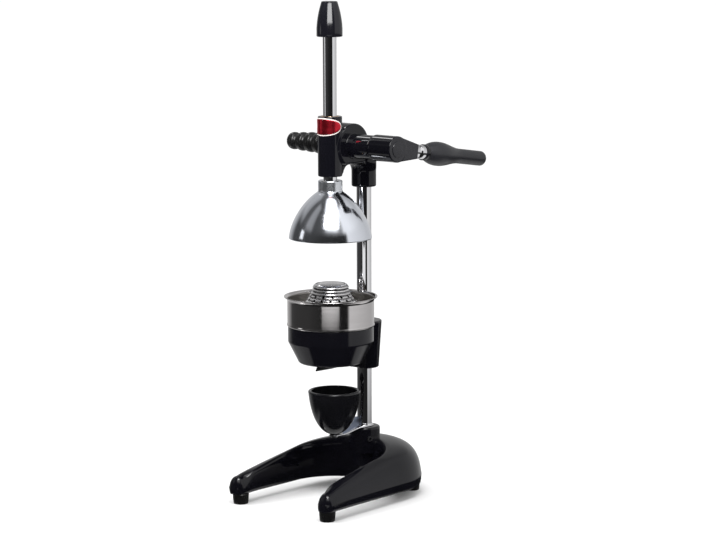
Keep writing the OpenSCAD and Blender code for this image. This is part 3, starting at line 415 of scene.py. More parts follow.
# Colour, roughness, stretch of the marks, spread of the roughness
METALS = {
    "dark_zinc_screw": ((0.16, 0.16, 0.17), 0.26, (1, 1, 6), 0.1),
    "chrome": ((0.82, 0.82, 0.84), 0.03, (1, 1, 0.02), 0.03),
    "stainless": ((0.64, 0.62, 0.62), 0.09, (0.3, 0.3, 8), 0.05),
    # Painted shade: a darker copy of the steel for the bowl's inner wall and the flat ring round the cone
    "painted_shade_steel": ((0.36, 0.345, 0.33), 0.3, (1, 1, 6), 0.08),
    # Painted shade: a darker, bluish copy of the arm's chrome for the web between the cup and the column
    "web_painted_shade_steel": ((0.22, 0.25, 0.32), 0.32, (1, 1, 1), 0.05),
    # Painted shade: a near-black steel for the unlit inside of the cone
    "cavity_painted_shade": ((0.05, 0.05, 0.05), 0.5, (1, 1, 1), 0.05),
    "strainer_steel": ((0.74, 0.73, 0.74), 0.2, (1, 1, 6), 0.1),
    "bell_alloy": ((0.84, 0.87, 0.94), 0.11, (1, 1, 6), 0.04),
    "neck_alloy": ((0.9, 0.93, 0.98), 0.27, (1, 1, 6), 0.05),
    "machined_steel": ((0.5, 0.5, 0.5), 0.25, (1, 1, 4), 0.12),
    "bronze": ((0.55, 0.36, 0.18), 0.3, (1, 1, 4), 0.12),
    "badge_red": ((0.8, 0.035, 0.06), 0.28, (1, 1, 3), 0.05),
}
MATERIALS.update({name: plastic(name, *row) for name, row in PLASTICS.items()})
MATERIALS.update({name: polished_metal(name, *row) for name, row in METALS.items()})
# The record's slots that a material of another name dresses
MATERIALS["black_plastic"] = MATERIALS["black_satin_plastic"]
MATERIALS["zinc_screw"] = MATERIALS["dark_zinc_screw"]


def dress_cad_nodes():
    """Procedural materials for the CAD nodes that stay: gears, shafts, bushes and screws."""
    slots = {row["node"]: row["material_slot"] for row in frame["record"]["subparts"]}
    for node, obj in frame["nodes"].items():
        obj.data.materials.clear()
        obj.data.materials.append(MATERIALS[slots[node]])


# ---- stand

LEG_INNER = 72.0
NOSE_W = 29.0
NOSE_Y = 107.0
NOSE_H = 42.0
HUMP_R = 96.0
HUMP_Y = 58.0
HUMP_H = 80.0
EDGE_Z = 15.0
SKIRT_Z = 27.0
SOCKET_R = 23.0
SOCKET_TOP = 98.5
INNER_Y = THROAT - LEG_INNER
# Where a section's top line has its points, as shares of its width
CREST_SHARES = (0.0, 0.008, 0.03, 0.07, 0.13, 0.21, 0.3, 0.4, 0.5, 0.6,
                0.69, 0.77, 0.84, 0.895, 0.935, 0.965, 0.985)


def rim_height(share):
    """Height of the stand's top, from the nose (share 0) to the rear of the hump (share 1)."""
    return NOSE_H + (HUMP_H - NOSE_H) * share**0.8


def crest(u):
    """Height of a section's top line at a share u of its width, as a share of its height."""
    dip = 0.16 * (1 - min(1.0, u * 9)) ** 2
    return max(0.0, 1 - u**4.6) ** 0.42 * (1 - dip)


def stand_section(width, height, deep, dome):
    """Points across the stand: inner edge, over the top, down to the skirt and back inside.
    dome, from 0 to 1, turns the upright inner edge into a round shoulder."""
    rise = height - EDGE_Z
    wall = min(6.0, width * 0.28)
    outside = [(0.0, EDGE_Z), (0.0, EDGE_Z + rise * 0.4), (0.0, EDGE_Z + rise * 0.72)]
    outside = [(x, EDGE_Z + (z - EDGE_Z) * (1 - 0.35 * dome)) for x, z in outside]
    for u in CREST_SHARES:
        shoulder = 1 - dome * 0.55 * max(0.0, 1 - u / 0.45) ** 2.2
        outside.append((width * u, EDGE_Z + rise * crest(u) * shoulder))
    skirt = min(SKIRT_Z, EDGE_Z + rise * 0.36)
    outside += near(width, skirt, (0.1, 1.2), (0.1, 0), (-0.7, -1.4)) + [(width - 1.2, EDGE_Z)]
    inside = [(width - wall, EDGE_Z)]
    for u in (1.0, 0.9, 0.7, 0.5, 0.25, 0.0):
        z = EDGE_Z + 1.2 + deep * (rise - 7.2) * max(0.1, crest(u))
        inside.append((wall + (width - 2 * wall) * (0.04 + 0.92 * u), z))
    inside.append((wall, EDGE_Z))
    return outside + inside


def stand_stations():
    """(inner point, outer point, height, deep, dome) from the left nose round the hump to the right."""
    nose_r = NOSE_W / 2
    nose_x = LEG_INNER + nose_r
    nose_steps, leg_steps, arc_steps = 8, 20, 36
    half = []
    for i in range(nose_steps, 0, -1):
        a = radians(88 * i / nose_steps)
        x, y = nose_r * cos(a), -NOSE_Y - nose_r * sin(a)
        drop = 1 - 0.5 * sin(a) ** 3
        half.append(((nose_x - x, y), (nose_x + x, y), EDGE_Z + (NOSE_H - EDGE_Z) * drop, 0.0, 1.0))
    for i in range(leg_steps + 1):
        t = i / leg_steps
        outer = HUMP_R + (LEG_INNER + NOSE_W - HUMP_R) * (1 - t) ** 1.5
        deep = min(1.0, max(0.0, (t - 0.1) * 8))
        inner_point = (LEG_INNER, -NOSE_Y + (NOSE_Y + INNER_Y) * t)
        outer_point = (outer, -NOSE_Y + (NOSE_Y + HUMP_Y) * t)
        dome = max(0.0, 1 - t / 0.16) ** 1.3
        half.append((inner_point, outer_point, rim_height(0.62 * t), deep, dome))
    left = [((-a[0], a[1]), (-b[0], b[1]), *rest) for a, b, *rest in half]
    rear = []
    for i in range(1, arc_steps):
        a = pi * i / arc_steps
        inner_point = (-LEG_INNER * cos(a), INNER_Y + LEG_INNER * sin(a))
        outer_point = (-HUMP_R * cos(a), HUMP_Y + HUMP_R * sin(a))
        height = rim_height(0.62 + 0.38 * sin(a) ** 1.2)
        rear.append((inner_point, outer_point, height, 1.0, 0.0))
    return left + rear + half[::-1]


def stand():
    """The horseshoe stand and the socket that holds the column."""
    rings = []
    for inner, outer, height, deep, dome in stand_stations():
        across = Vector(outer) - Vector(inner)
        width = across.length
        unit = across / width
        section = stand_section(width, height, deep, dome)
        rings.append([(inner[0] + unit.x * x, inner[1] + unit.y * x, z) for x, z in section])
    body = loft("stand_casting", rings, angle=75)
    modify(body, "SUBSURF", levels=1, render_levels=1)
    shade(body, 60)
    dress(body, "frame", "black_paint", "base_casting")

    r, top = SOCKET_R, SOCKET_TOP
    outline = [(COLUMN_BORE, 40), (r - 5, 40), (r - 5, 58), (r, 60), (r, top - 3)]
    outline += arc(r - 3, top - 3, 3, 0, 90, 6)
    outline += [(12.2, top), (COLUMN_BORE, top - 1), (COLUMN_BORE, 40)]
    turned("column_socket", outline, "frame", "black_paint", "base_casting", place=ON_COLUMN)


def feet():
    """Four rubber feet."""
    for node in ("front_feet", "rear_feet"):
        lo, hi = extent(node)
        y = (lo.y + hi.y) / 2
        r = (hi.y - lo.y) / 2
        for side, x in (("left", lo.x + r), ("right", hi.x - r)):
            outline = [(0, 4), (6.4, 4), (6.4, 0.8), (7.2, 0)]
            outline += near(r, 0, (-2.4, 0), (-1.6, 0.3), (-1.1, 1.2), (-0.4, 8))
            outline += near(r, hi.z, (-0.1, -1.6), (0, -0.8), (-0.6, 0)) + [(0, hi.z)]
            place = Matrix.Translation((x, y, 0))
            turned(f"{node}_{side}", outline, "frame", "black_rubber", node, place=place, sides=64)


def column():
    """The steel tube that joins the stand, the holder and the head."""
    lo, hi = extent("column_tube")
    r = (hi.x - lo.x) / 2
    bore = 8.5
    outline = [(bore, lo.z)] + near(r, lo.z, (-0.6, 0), (0, 0.6)) + near(r, hi.z, (0, -0.8), (-0.8, 0))
    outline += [(bore, hi.z), (bore, lo.z)]
    turned("column", outline, "frame", "chrome", "column_tube", place=ON_COLUMN, sides=128)


# ---- drip cup on its swing arm

ARM_LEN = 68.0
ARM_DROP = 5.0
ARM_T = 2.0
ARM_BORE = 11.08
CUP_Y = THROAT - ARM_LEN


def arm_height(y):
    """Underside of the swing arm: flat below the cup, rising, flat at the column."""
    bend, seat = THROAT - SOCKET_R - 1, CUP_Y + 16
    t = min(1.0, max(0.0, (y - seat) / (bend - seat)))
    return SOCKET_TOP - ARM_DROP + ARM_DROP * (t * t * (3 - 2 * t) * 0.35 + t * 0.65)


def cup_arm():
    """The flat arm, narrow at the cup and wide at its eye round the column, with its collar and web."""
    eye_r, end_r = extent("cup_arm")[1].x, 8.0
    spread = asin((eye_r - end_r) / ARM_LEN)
    y_eye, y_end = THROAT - eye_r * sin(spread), CUP_Y - end_r * sin(spread)
    ys = [CUP_Y - end_r * cos(radians(a)) for a in range(2, 90, 8)]
    ys = [y for y in ys if y < y_end] + [y_end + (y_eye - y_end) * i / 30 for i in range(31)]
    ys += [THROAT + eye_r * sin(radians(a)) for a in range(-88, 89, 4)]
    rings = []
    for y in sorted(set(ys)):
        if y < y_end:
            half = sqrt(max(0.0, end_r**2 - (y - CUP_Y) ** 2))
        elif y < y_eye:
            t = (y - y_end) / (y_eye - y_end)
            half = (end_r + (eye_r - end_r) * t) * cos(spread)
        else:
            half = sqrt(max(0.0, eye_r**2 - (y - THROAT) ** 2))
        z = arm_height(y)
        half = max(half, 0.6)
        e = min(0.5, half * 0.4)
        top = z + ARM_T
        rings.append([
            (-half + e, y, z), (half - e, y, z), (half, y, z + e), (half, y, top - e),
            (half - e, y, top), (-half + e, y, top), (-half, y, top - e), (-half, y, z + e),
        ])
    arm = loft("swing_arm", rings, angle=50)
    cut(arm, plug("arm_hole", ARM_BORE, SOCKET_TOP - 3, 105, ON_COLUMN))
    shade(arm, 50)
    dress(arm, "cup", "chrome", "cup_arm")

    arm_collar()
    arm_web(eye_r)


def arm_collar():
    """A low ring round the column, on top of the arm's eye."""
    r, z = 12.0, SOCKET_TOP + ARM_T
    outline = [(ARM_BORE, z - 1)] + near(r, z, (0, -1), (0, 1.3), (-0.3, 1.9))
    outline += [(11.3, z + 2), (ARM_BORE, z + 1.7), (ARM_BORE, z - 1)]
    turned("swing_arm_collar", outline, "cup", "chrome", "cup_arm", place=ON_COLUMN)


def arm_web(eye_r):
    """An upright plate on the arm, between the cup and the arm's eye."""
    foot_y, eye = CUP_Y + 17, THROAT - eye_r + 1
    top, half = SOCKET_TOP + 16, 0.8
    side = [(foot_y, arm_height(foot_y) + 1)] + near(foot_y, top, (10, -3), (14, -0.5), (20, 0))
    side += near(eye, top, (-3, 0), (0, -2)) + [(eye, SOCKET_TOP + 1)]
    side += [(y, arm_height(y) + 1) for y in (55, 48, 40, 32)]
    side = rounded(side, [0, 3, 4, 6, 2, 2, 0, 0, 0, 0, 0], 4)
    web = loft("swing_arm_web", [[(x, y, z) for y, z in side] for x in (-half, half)])
    modify(web, "BEVEL", width=0.3 * MM, segments=2, limit_method="ANGLE", angle_limit=radians(50))
    shade(web, 40)
    # Painted shade: the web gets a darker, bluish copy of the arm's chrome
    dress(web, "cup", "chrome", "cup_arm", look="web_painted_shade_steel")


def ellipse_side(r, h, full, n):
    """Side of a slightly full ellipse of height full, from its lowest point to radius r at height h."""
    power = 2.2  # 2 would be a plain ellipse
    reach = (1 - (1 - h / full) ** power) ** (1 / power)
    heights = [h * (i / n) ** 1.7 for i in range(n + 1)]
    return [(r / reach * (1 - (1 - z / full) ** power) ** (1 / power), z) for z in heights]


def drip_cup():
    """The cup on the swing arm's end."""
    lo, hi = extent("drip_cup")
    r = (hi.x - lo.x) / 2
    z = lo.z + 0.5
    height = hi.z - z
    lip = 2.6
    outside = ellipse_side(r - 0.3, height - lip, 82, 40)
    inside = ellipse_side(r - 2 * lip, height - 6, 77, 30)
    outline = [(0, lo.z), (6.4, lo.z), (7, lo.z + 0.6), (7, z + 0.1)]
    outline += [(a, z + b) for a, b in outside if a > 7.2]
    outline += arc(r - lip, z + height - lip, lip, 0, 180, 14)
    outline += [(a, z + 5 + b) for a, b in reversed(inside)]
    place = Matrix.Translation((0, CUP_Y, 0))
    turned("drip_cup_shell", outline, "cup", "black_gloss_plastic", "drip_cup", place=place, sides=128)


# ---- holder, spout, bowl and cone

HOLDER_R = 62.6
HOLDER_TOP = 259.5
CREASE_Z = 236.5
HOLDER_Z = 204.5
HOLDER_END_R = 49.0
CLAMP_Z = 187.5
CLAMP_R = 26.0


def holder():
    """A turned cup below the bowl, and the cast neck and clamp that hold it on the column."""
    r, end_r, hub_r, z, top = HOLDER_R, HOLDER_END_R, 27, HOLDER_Z, HOLDER_TOP
    outline = [(hub_r, z + 4), (27.6, z + 0.4), (28.4, z), (end_r - 7, z)]
    outline += arc(end_r - 6, z + 6, 6, -75, -15, 8)
    outline += rounded([outline[-1], (r, CREASE_Z), (r, top - 1)], [0, 1.0, 0], 3)[1:]
    outline += near(r, top, (-0.4, -0.3), (-1.2, 0), (-3.4, 0), (-4, -0.6))
    outline += [(r - 4, CREASE_Z), (end_r - 5.5, z + 4), (hub_r, z + 4)]
    turned("holder_ring", outline, "frame", "black_paint", "holder_casting", sides=160)

    def field(p):
        x, y, z = p[..., 0], p[..., 1] - THROAT, p[..., 2]
        t = np.clip((z - CLAMP_Z) / (HOLDER_TOP - 4 - CLAMP_Z), 0, 1)
        r = CLAMP_R - 4.5 + 4.5 * t
        post = np.hypot(x, y) - r
        low_edge = HOLDER_Z + 6 + (CLAMP_Z - HOLDER_Z - 6) * np.clip((y + 38) / 24, 0, 1)
        half = 17 + 6.0 * np.clip((z - HOLDER_Z) / (HOLDER_TOP - HOLDER_Z), 0, 1)
        half = half + (r - 1 - half) * np.clip((y + 38) / 38, 0, 1)
        neck = meet(np.abs(x) - half, np.maximum(y, -38.5 - y), 2)
        neck = meet(neck, (low_edge - z) * 0.75, 5)
        body = union(post, neck, 6)
        body = meet(body, np.maximum(CLAMP_Z - z, z - (HOLDER_TOP - 1.5)), 2.5)
        column = COLUMN_BORE - np.hypot(x, y)
        bowl = HOLDER_R - 2.5 - np.hypot(x, p[..., 1])
        return np.maximum(meet(body, column, 0.8), bowl)

    clamp = cast("holder_clamp", field, (-30, 34, CLAMP_Z - 3), (30, THROAT + 30, HOLDER_TOP + 1), 1.3)
    dress(clamp, "frame", "black_paint", "holder_casting")


def bowl():
    """A spun bowl on the holder; its flared rim has a notch that clears the column."""
    lo, hi = extent("steel_bowl")
    foot_z, top = lo.z, hi.z
    r, rim_r, foot_r, notch_r = 64.1, 68.25, 56.1, 11.4
    z, ledge = HOLDER_TOP, top - 14
    rows = (
        (foot_r, foot_z, (-1.2, 0), (-0.6, 0), (0, 0.4)),
        (foot_r, z, (0, -0.4), (0.6, 0)),
        (r, z, (-1.4, 0), (-0.4, 0.4), (0, 1.3), (0, 2.4), (-0.7, 3.4), (-0.7, 37.5), (-0.1, 39.2)),
        (r, z, (0.7, 40.8)),
        (rim_r, top, (-1.2, -2.0), (-0.3, -1.3), (0, -0.7), (-0.3, -0.1), (-0.9, 0), (-1.8, -0.5)),
        (r, top, (0.2, -2.2), (-0.8, -3.2), (-1.4, -5)),
        (r, ledge, (-1.4, 0), (-1.7, -1), (-4.6, -1.2), (-5, -1.8), (-4.6, -2.4), (-1.9, -2.4), (-1.5, -3)),
        (r, z, (-1.4, 1.8), (-2.0, 1.2)),
        (foot_r, z, (-0.8, 1.2), (-1.2, 0.6)),
        (foot_r, foot_z, (-1.2, 0)),
    )
    outline = [point for row in rows for point in near(*row)]
    obj = lathe("bowl_shell", outline, sides=192, angle=55)
    cut(obj, plug("notch", notch_r, z + 1.3, top + 3, ON_COLUMN))
    shade(obj, 55)
    dress(obj, "frame", "stainless", "steel_bowl")

    def inner_wall(c, n):
        return c.x * n.x + c.y * n.y < -0.3 * hypot(c.x, c.y) and c.z < (top - 3) * MM

    # Painted shade: the bowl's inner wall gets a darker copy of the steel
    add_look(obj, "painted_shade_steel", inner_wall)


CONE_LOWER = 3.0  # how far the cone's top stays below the CAD cone's
# Rows of holes in the cone: share of its height, count, and shift as a share of the spacing
CONE_DRAINS = ((0.1, 16, 0.3), (0.47, 14, 0.3), (0.29, 16, 0.8))
RING_DRAINS = 36
# One ridge of the cone: share of its height, and how far out it stands
RIDGE = ((0.0, -0.9), (0.1, -0.1), (0.25, 0.5), (0.45, 0.6), (0.65, 0.3), (0.82, -0.4), (0.93, -1.1))


def cone():
    """The squeezing cone and the flat ring round it, both with drain holes."""
    lo, hi = extent("strainer_cone")
    flange_r, cone_r, top_r, sheet, steps, wall = 62.5, 41.0, 25.5, 1.2, 7, 1.8
    base, start = lo.z, lo.z + sheet
    height = hi.z - base - sheet - 4.2 - CONE_LOWER

    def at(k):
        """Radius of the cone at a share k of its height."""
        return top_r + (cone_r - top_r) * (1 - k) ** 1.7

    outline = [(cone_r - 3, base)] + near(flange_r, base, (-0.4, 0), (0, 0.4))
    outline += near(flange_r, start, (0, -0.4), (-0.4, 0)) + [(cone_r + 1.5, start)]
    ridges = [((i + share) / steps, out) for i in range(steps) for share, out in RIDGE]
    outline += [(at(k) + out, start + height * k) for k, out in ridges]
    z = start + height
    outline += near(top_r, z, (-0.6, 0.2), (-2.2, 1.6), (-4.5, 2.2), (-6, 1.7), (-8, 2.6), (-11, 3.1))
    outline += [(top_r - 13, z + 2.7), (7, z + 3.5), (0, z + 3.8)]
    inner = [(at(k / 12) - wall - 0.9, start + height * k / 12 - 0.6) for k in range(12, -1, -1)]
    outline += [(0, z + 1)] + inner + [(cone_r - 3, base)]
    obj = lathe("squeezing_cone", outline, sides=168, angle=50)

    cutters = []
    for row, (k, count, shift) in enumerate(CONE_DRAINS):
        for i in range(count):
            a = 2 * pi * (i + shift) / count
            turn = Matrix.Rotation(a, 4, "Z") @ Matrix.Translation((at(k) - 6, 0, start + height * k))
            place = turn @ Matrix.Rotation(radians(75), 4, "Y")
            cutters.append(plug(f"drain_{row}_{i}", 2.1, 0, 11, place, 14))
    for i in range(RING_DRAINS):
        a = 2 * pi * i / RING_DRAINS
        r = (cone_r + flange_r) / 2 + (4.5 if i % 2 == 0 else -3.5)
        place = Matrix.Rotation(a, 4, "Z") @ Matrix.Translation((r, 0, base - 2))
        cutters.append(plug(f"ring_drain_{i}", 2, 0, 6, place, 14))
    joined = cutters[0]
    with bpy.context.temp_override(active_object=joined, selected_editable_objects=cutters):
        bpy.ops.object.join()
    cut(obj, joined)
    shade(obj, 50)
    dress(obj, "frame", "stainless", "strainer_cone", look="strainer_steel")

    def in_cavity(c, n):
        far = hypot(c.x, c.y)
        return far < (cone_r - 1) * MM and (n.z < -0.35 or c.x * n.x + c.y * n.y < -0.2 * far)

    # Painted shade: the flat ring round the cone gets a darker copy of the steel
    add_look(obj, "painted_shade_steel", lambda c, n: hypot(c.x, c.y) > (cone_r - 1) * MM)
    # Painted shade: the cone's inside gets a near-black copy of the steel
    add_look(obj, "cavity_painted_shade", in_cavity)


# ---- press head

GUIDE_R = 17.7
GUIDE_Z = 478.0
GUIDE_TOP = 565.0
HEAD_FLOOR = 494.5
JOINT_X = 60.5
HUB_R = 19.0


def head():
    """Guide tube, gear housing, pinion tube, web and column socket in one casting."""
    y0, z0 = PINION.yz

    def field(p):
        x, y, z = p[..., 0], p[..., 1], p[..., 2]
        guide = rod(p, 2, (0, 0), GUIDE_R, GUIDE_Z, GUIDE_TOP, 1.6)
        house = rod(p, 0, (y0 + 2, z0 - 1), 33, -20, 20, 3)
        house = meet(house, HEAD_FLOOR - z, 3)
        tube = rod(p, 0, (y0, z0), 17.25, -5, JOINT_X - 0.4, 1.2)
        arch = np.hypot(y - (GUIDE_R + 17), z - GUIDE_Z) - 15
        web = meet(np.abs(x) - 9, np.maximum(-y, y - THROAT), 2)
        web = meet(web, np.maximum(z - 518, GUIDE_Z + 2 - z), 2)
        hollow = np.where(y < GUIDE_R + 17, -arch, HEAD_FLOOR - 1.5 - z)
        web = meet(web, hollow, 2.5)
        half = 18 + (15.2 - 18) * np.clip((y - y0) / (THROAT - y0), 0, 1)
        bridge = meet(np.abs(x) - half, np.maximum(y0 - y, y - THROAT), 3)
        bridge = meet(bridge, np.maximum(HEAD_FLOOR - z, z - 516), 3.5)
        socket = rod(p, 2, (0, THROAT), 18.2, 456.5, 520, 2.6)
        body = union(house, guide, 3.5)
        for part, fillet in ((tube, 1.6), (web, 3), (bridge, 4), (socket, 14)):
            body = union(body, part, fillet)
        body = np.maximum(body, x - (JOINT_X - 0.4))
        bore = np.hypot(x, y) - 13.05
        cavity = rod(p, 0, (y0, z0), 23.6, -22, 13, 0.5)
        column = meet(np.hypot(x, y - THROAT) - COLUMN_BORE, z - 512, 0.5)
        shaft = np.maximum(np.hypot(y - y0, z - z0) - 11.1, -x)
        for hole in (bore, cavity, column, shaft):
            body = meet(body, -hole, 0.7)
        return body

    obj = cast("head_casting_shell", field, (-24, -21, 453), (64, THROAT + 20, 568), 1.3)
    dress(obj, "frame", "black_paint", "head_casting")


def oval(name, r, thick, width, height, slot, node):
    """An oval plate that follows the guide tube's front, on a radius r from its axis."""
    sides = 96
    lo, hi = extent(node)
    z0 = (lo.z + hi.z) / 2
    levels = [(s, 0.0) for s in (0.2, 0.4, 0.6, 0.8, 1.0)]
    levels += [(1.0, thick * 0.6), (0.985, thick * 0.88), (0.955, thick)]
    levels += [(s, thick) for s in (0.8, 0.6, 0.4, 0.2)]
    bm = bmesh.new()
    rows = []
    for share, depth in levels:
        row = []
        for i in range(sides):
            a = 2 * pi * i / sides
            turn = radians(-90) + width / 2 / r * cos(a) * share
            far = r + depth
            z = z0 + height / 2 * share * sin(a)
            row.append(bm.verts.new((far * cos(turn), far * sin(turn), z)))
        rows.append(row)
    for a, b in zip(rows, rows[1:]):
        for i in range(sides):
            j = (i + 1) % sides
            bm.faces.new((a[i], a[j], b[j], b[i]))
    bm.faces.new(rows[-1])
    bm.faces.new(rows[0][::-1])
    obj = to_object(name, bm, 50)
    dress(obj, "frame", slot, node)


def badge():
    """The bare plate on the guide tube: a pale border and a red field."""
    oval("badge_rim", GUIDE_R + 0.06, 0.5, 66, 26, "badge_cream", "badge_border")
    oval("badge_field", GUIDE_R + 0.3, 0.66, 62.8, 22.8, "badge_red", "badge_plate")


def gear_cover():
    """The round cover of the gear housing, with a boss for the side grip."""
    y0, z0 = PINION.yz

    def field(p):
        plate = rod(p, 0, (y0, z0), 30.5, -25, -20, 1.4)
        plate = meet(plate, HEAD_FLOOR - p[..., 2], 1.2)
        boss = rod(p, 0, (y0, z0), 15, -36, -20, 1.4)
        body = union(plate, boss, 3)
        body = np.maximum(body, p[..., 0] + 20)
        hole = np.hypot(p[..., 1] - y0, p[..., 2] - z0) - 5.05
        return meet(body, -hole, 0.5)

    obj = cast("gear_cover_plate", field, (-38, y0 - 33, z0 - 30), (-18, y0 + 33, z0 + 33), 1.2)
    dress(obj, "frame", "black_paint", "gear_cover")


# Outer side of one rib: share of its length, and how far it lies inside the rib's radius
RIB = ((0.1, 2.6), (0.2, 1.2), (0.32, 0.4), (0.46, 0.05), (0.6, 0.0), (0.7, 0.25), (0.78, 1.0), (0.83, 2.4))


def side_grip():
    """The ribbed steadying grip; each rib is a little larger towards the head."""
    lo, hi = extent("side_grip")
    ribs, r0, growth, stud_r, stud_depth = 4, 12.8, 1.0, 5.1, 8
    pitch = (hi.x - lo.x) / ribs
    outline = [(0, 0)]
    for i in range(ribs):
        r = r0 + growth * i
        if i == 0:
            outline += [(r - 7.4, 0), (r - 5.4, 0.5), (r - 3.6, 1.6)]
        else:
            outline += [(r - 5.4, pitch * i - 1.6), (r - 5.6, pitch * i - 0.6), (r - 4.4, pitch * i + 0.4)]
        outline += [(r - d, pitch * (i + k)) for k, d in RIB]
    end = pitch * ribs
    outline += [(r0, end - 1), (r0 - 0.6, end - 0.1), (stud_r, end)]
    outline += [(stud_r, end - stud_depth), (0, end - stud_depth)]
    turned("side_grip_rubber", outline, "frame", "black_rubber", "side_grip", place=along_x(lo.x), angle=60)


# ---- lever

LEVER_X = 93.0
DROOP = 8.6
FLAT_LEN = 47.0  # the flat arm reaches a little over the ferrule's start
FLAT_HALF = 10.5
FERRULE_START = 43.8
RING_START = 66.8
GRIP_START = 74.8
GRIP_LEN = 136.0


def on_lever(start):
    """Place for a part drawn along +Z that starts some way along the lever."""
    hub = Matrix.Translation((LEVER_X, *PINION.yz))
    return hub @ Matrix.Rotation(radians(-90 - DROOP), 4, "X") @ Matrix.Translation((0, 0, start))


def lever_hub():
    """The hub on the pinion's shaft, with the flat arm that holds the lever, and its round cap."""
    y0, z0 = PINION.yz
    hub_x = JOINT_X + 42.5
    turn = radians(DROOP)
    r = HUB_R - 0.4
    a = atan2(FLAT_HALF, FLAT_LEN) + acos(r / hypot(FLAT_LEN, FLAT_HALF))
    arm_points = [(0.0, 0.0), (r * cos(a), -r * sin(a)), (FLAT_LEN, -FLAT_HALF)]
    arm_points += [(FLAT_LEN, FLAT_HALF), (r * cos(a), r * sin(a))]

    def field(p):
        x, y, z = p[..., 0], p[..., 1] - y0, p[..., 2] - z0
        u = y * cos(turn) - z * sin(turn)
        v = y * sin(turn) + z * cos(turn)
        barrel = np.hypot(y, z) - HUB_R
        barrel = meet(barrel, x - hub_x, 1.6)
        barrel = meet(barrel, JOINT_X + 0.05 - x, 3.2)
        flat = meet(polygon(u, v, arm_points), np.maximum(hub_x - 20 - x, x - hub_x), 1.6)
        body = union(barrel, flat, 1.2)
        hole = np.maximum(np.hypot(v, x - LEVER_X) - ROD_BORE, 17 - u)
        return meet(body, -hole, 0.4)

    obj = cast("lever_hub_shell", field, (JOINT_X - 2, y0 - 22, z0 - 30), (hub_x + 3, y0 + 52, z0 + 22), 0.9)
    dress(obj, "lever", "black_paint", "lever_hub")
    add_look(obj, "satin_paint", lambda c, n: n.x > 0.8)

    outline = [(0, -0.2), (12, -0.2), (12, 0.5), (11.6, 0.95), (11, 1), (0, 1)]
    turned("hub_cap_disc", outline, "lever", "black_paint", "hub_cap", "satin_paint", place=along_x(hub_x))


def lever_parts():
    """The ferrule, ring and grip, one after the other along the lever."""
    r = 9.5
    outline = [(ROD_BORE, 0), (r - 1.9, 0), (r - 1.5, 0.4), (r - 1.5, 10.5)]
    outline += [(r - 1.5 + 2.5 * (1 - cos(pi * t / 8)) / 2, 10.5 + 6 * t / 8) for t in range(9)]
    outline += [(r + 1, 22.5), (r + 0.5, 23), (ROD_BORE, 23), (ROD_BORE, 0)]
    turned("ferrule_sleeve", outline, "lever", "chrome", "lever_ferrule", place=on_lever(FERRULE_START))

    outline = [(ROD_BORE, 0)] + near(r, 0, (1, 0), (1.9, 0.4), (2.3, 1.3), (2.3, 6.6), (1.8, 7.6), (1, 8))
    outline += [(ROD_BORE, 8), (ROD_BORE, 0)]
    turned("lever_collar", outline, "lever", "black_plastic", "lever_ring", "black_gloss_plastic",
           place=on_lever(RING_START))

    big, tail, swell = 17.7, 11.0, 0.21
    outline = [(0, 117), (ROD_BORE, 117), (ROD_BORE, 0)]
    for i in range(61):
        k = 0.62 * i / 60
        if k < swell:
            radius = big - 7 * (1 - k / swell) ** 2.2
        else:
            fall = min(1.0, (k - swell) / 0.36)
            radius = tail + (big - tail) * (1 + cos(pi * fall)) / 2
        outline.append((radius, GRIP_LEN * k))
    outline += arc(tail - 7, GRIP_LEN - 7, 7, 0, 90, 12) + [(0, GRIP_LEN)]
    turned("lever_grip", outline, "lever", "black_plastic", "handle_grip", "grip_plastic",
           place=on_lever(GRIP_START))


# ---- ram, cap and bell

RAM_R = 10.0
GEAR_MODULE = 1.5
PITCH_LINE = 8.2  # from the ram's axis back to the rack's pitch line
RACK_PLAY = 0.075
RACK_TEETH = range(-4, 25)  # counted from the pinion's height


def ram():
    """The ram's bar, with the rack's gaps cut into its rear."""
    lo, hi = extent("ram_rod")
    side = [(RAM_R, lo.z + (hi.z - lo.z) * i / 12) for i in range(13)]
    outline = [(0, lo.z)] + side + [(0, hi.z)]
    obj = lathe("ram_bar", outline, sides=128)
    pitch, slant = pi * GEAR_MODULE, tan(radians(20))
    root, tip, beyond = PITCH_LINE - 1.25 * GEAR_MODULE, PITCH_LINE + GEAR_MODULE, 12
    start = PINION.z - pitch * 4.7
    end = start + pitch * 29.4
    half = pitch / 4 + RACK_PLAY
    inner, outer = half + (root - PITCH_LINE) * slant, half + (tip - PITCH_LINE) * slant
    profile = [(tip, start)]
    for i in RACK_TEETH:
        z = PINION.z + i * pitch
        profile += [(tip, z - outer), (root, z - inner), (root, z + inner), (tip, z + outer)]
    profile += [(tip, end), (beyond, end), (beyond, start)]
    cut(obj, loft("rack_cutter", [[(x, y, z) for y, z in profile] for x in (-beyond, beyond)]))
    shade(obj, 35)
    dress(obj, "ram", "chrome", "ram_rod")


def ram_cap():
    """The bumper on the ram's top."""
    lo, hi = extent("ram_cap")
    r = (hi.x - lo.x) / 2
    z, h = lo.z, hi.z - lo.z
    top_r, depth = r * 0.62, 30
    outline = [(0, z + depth), (RAM_BORE, z + depth), (RAM_BORE, z)]
    outline += near(r, z, (-1, 0), (-0.3, 0.3), (0, 1), (0, 8))
    for i in range(1, 25):
        k = i / 24
        outline.append((top_r + (r - top_r) * (1 - k**1.9), z + 8 + (h - 9) * k))
    outline += [(top_r - 0.5, z + h - 0.3), (top_r - 1.4, z + h), (0, z + h)]
    turned("ram_bumper", outline, "ram", "black_gloss_plastic", "ram_cap", look="cap_plastic", sides=128)


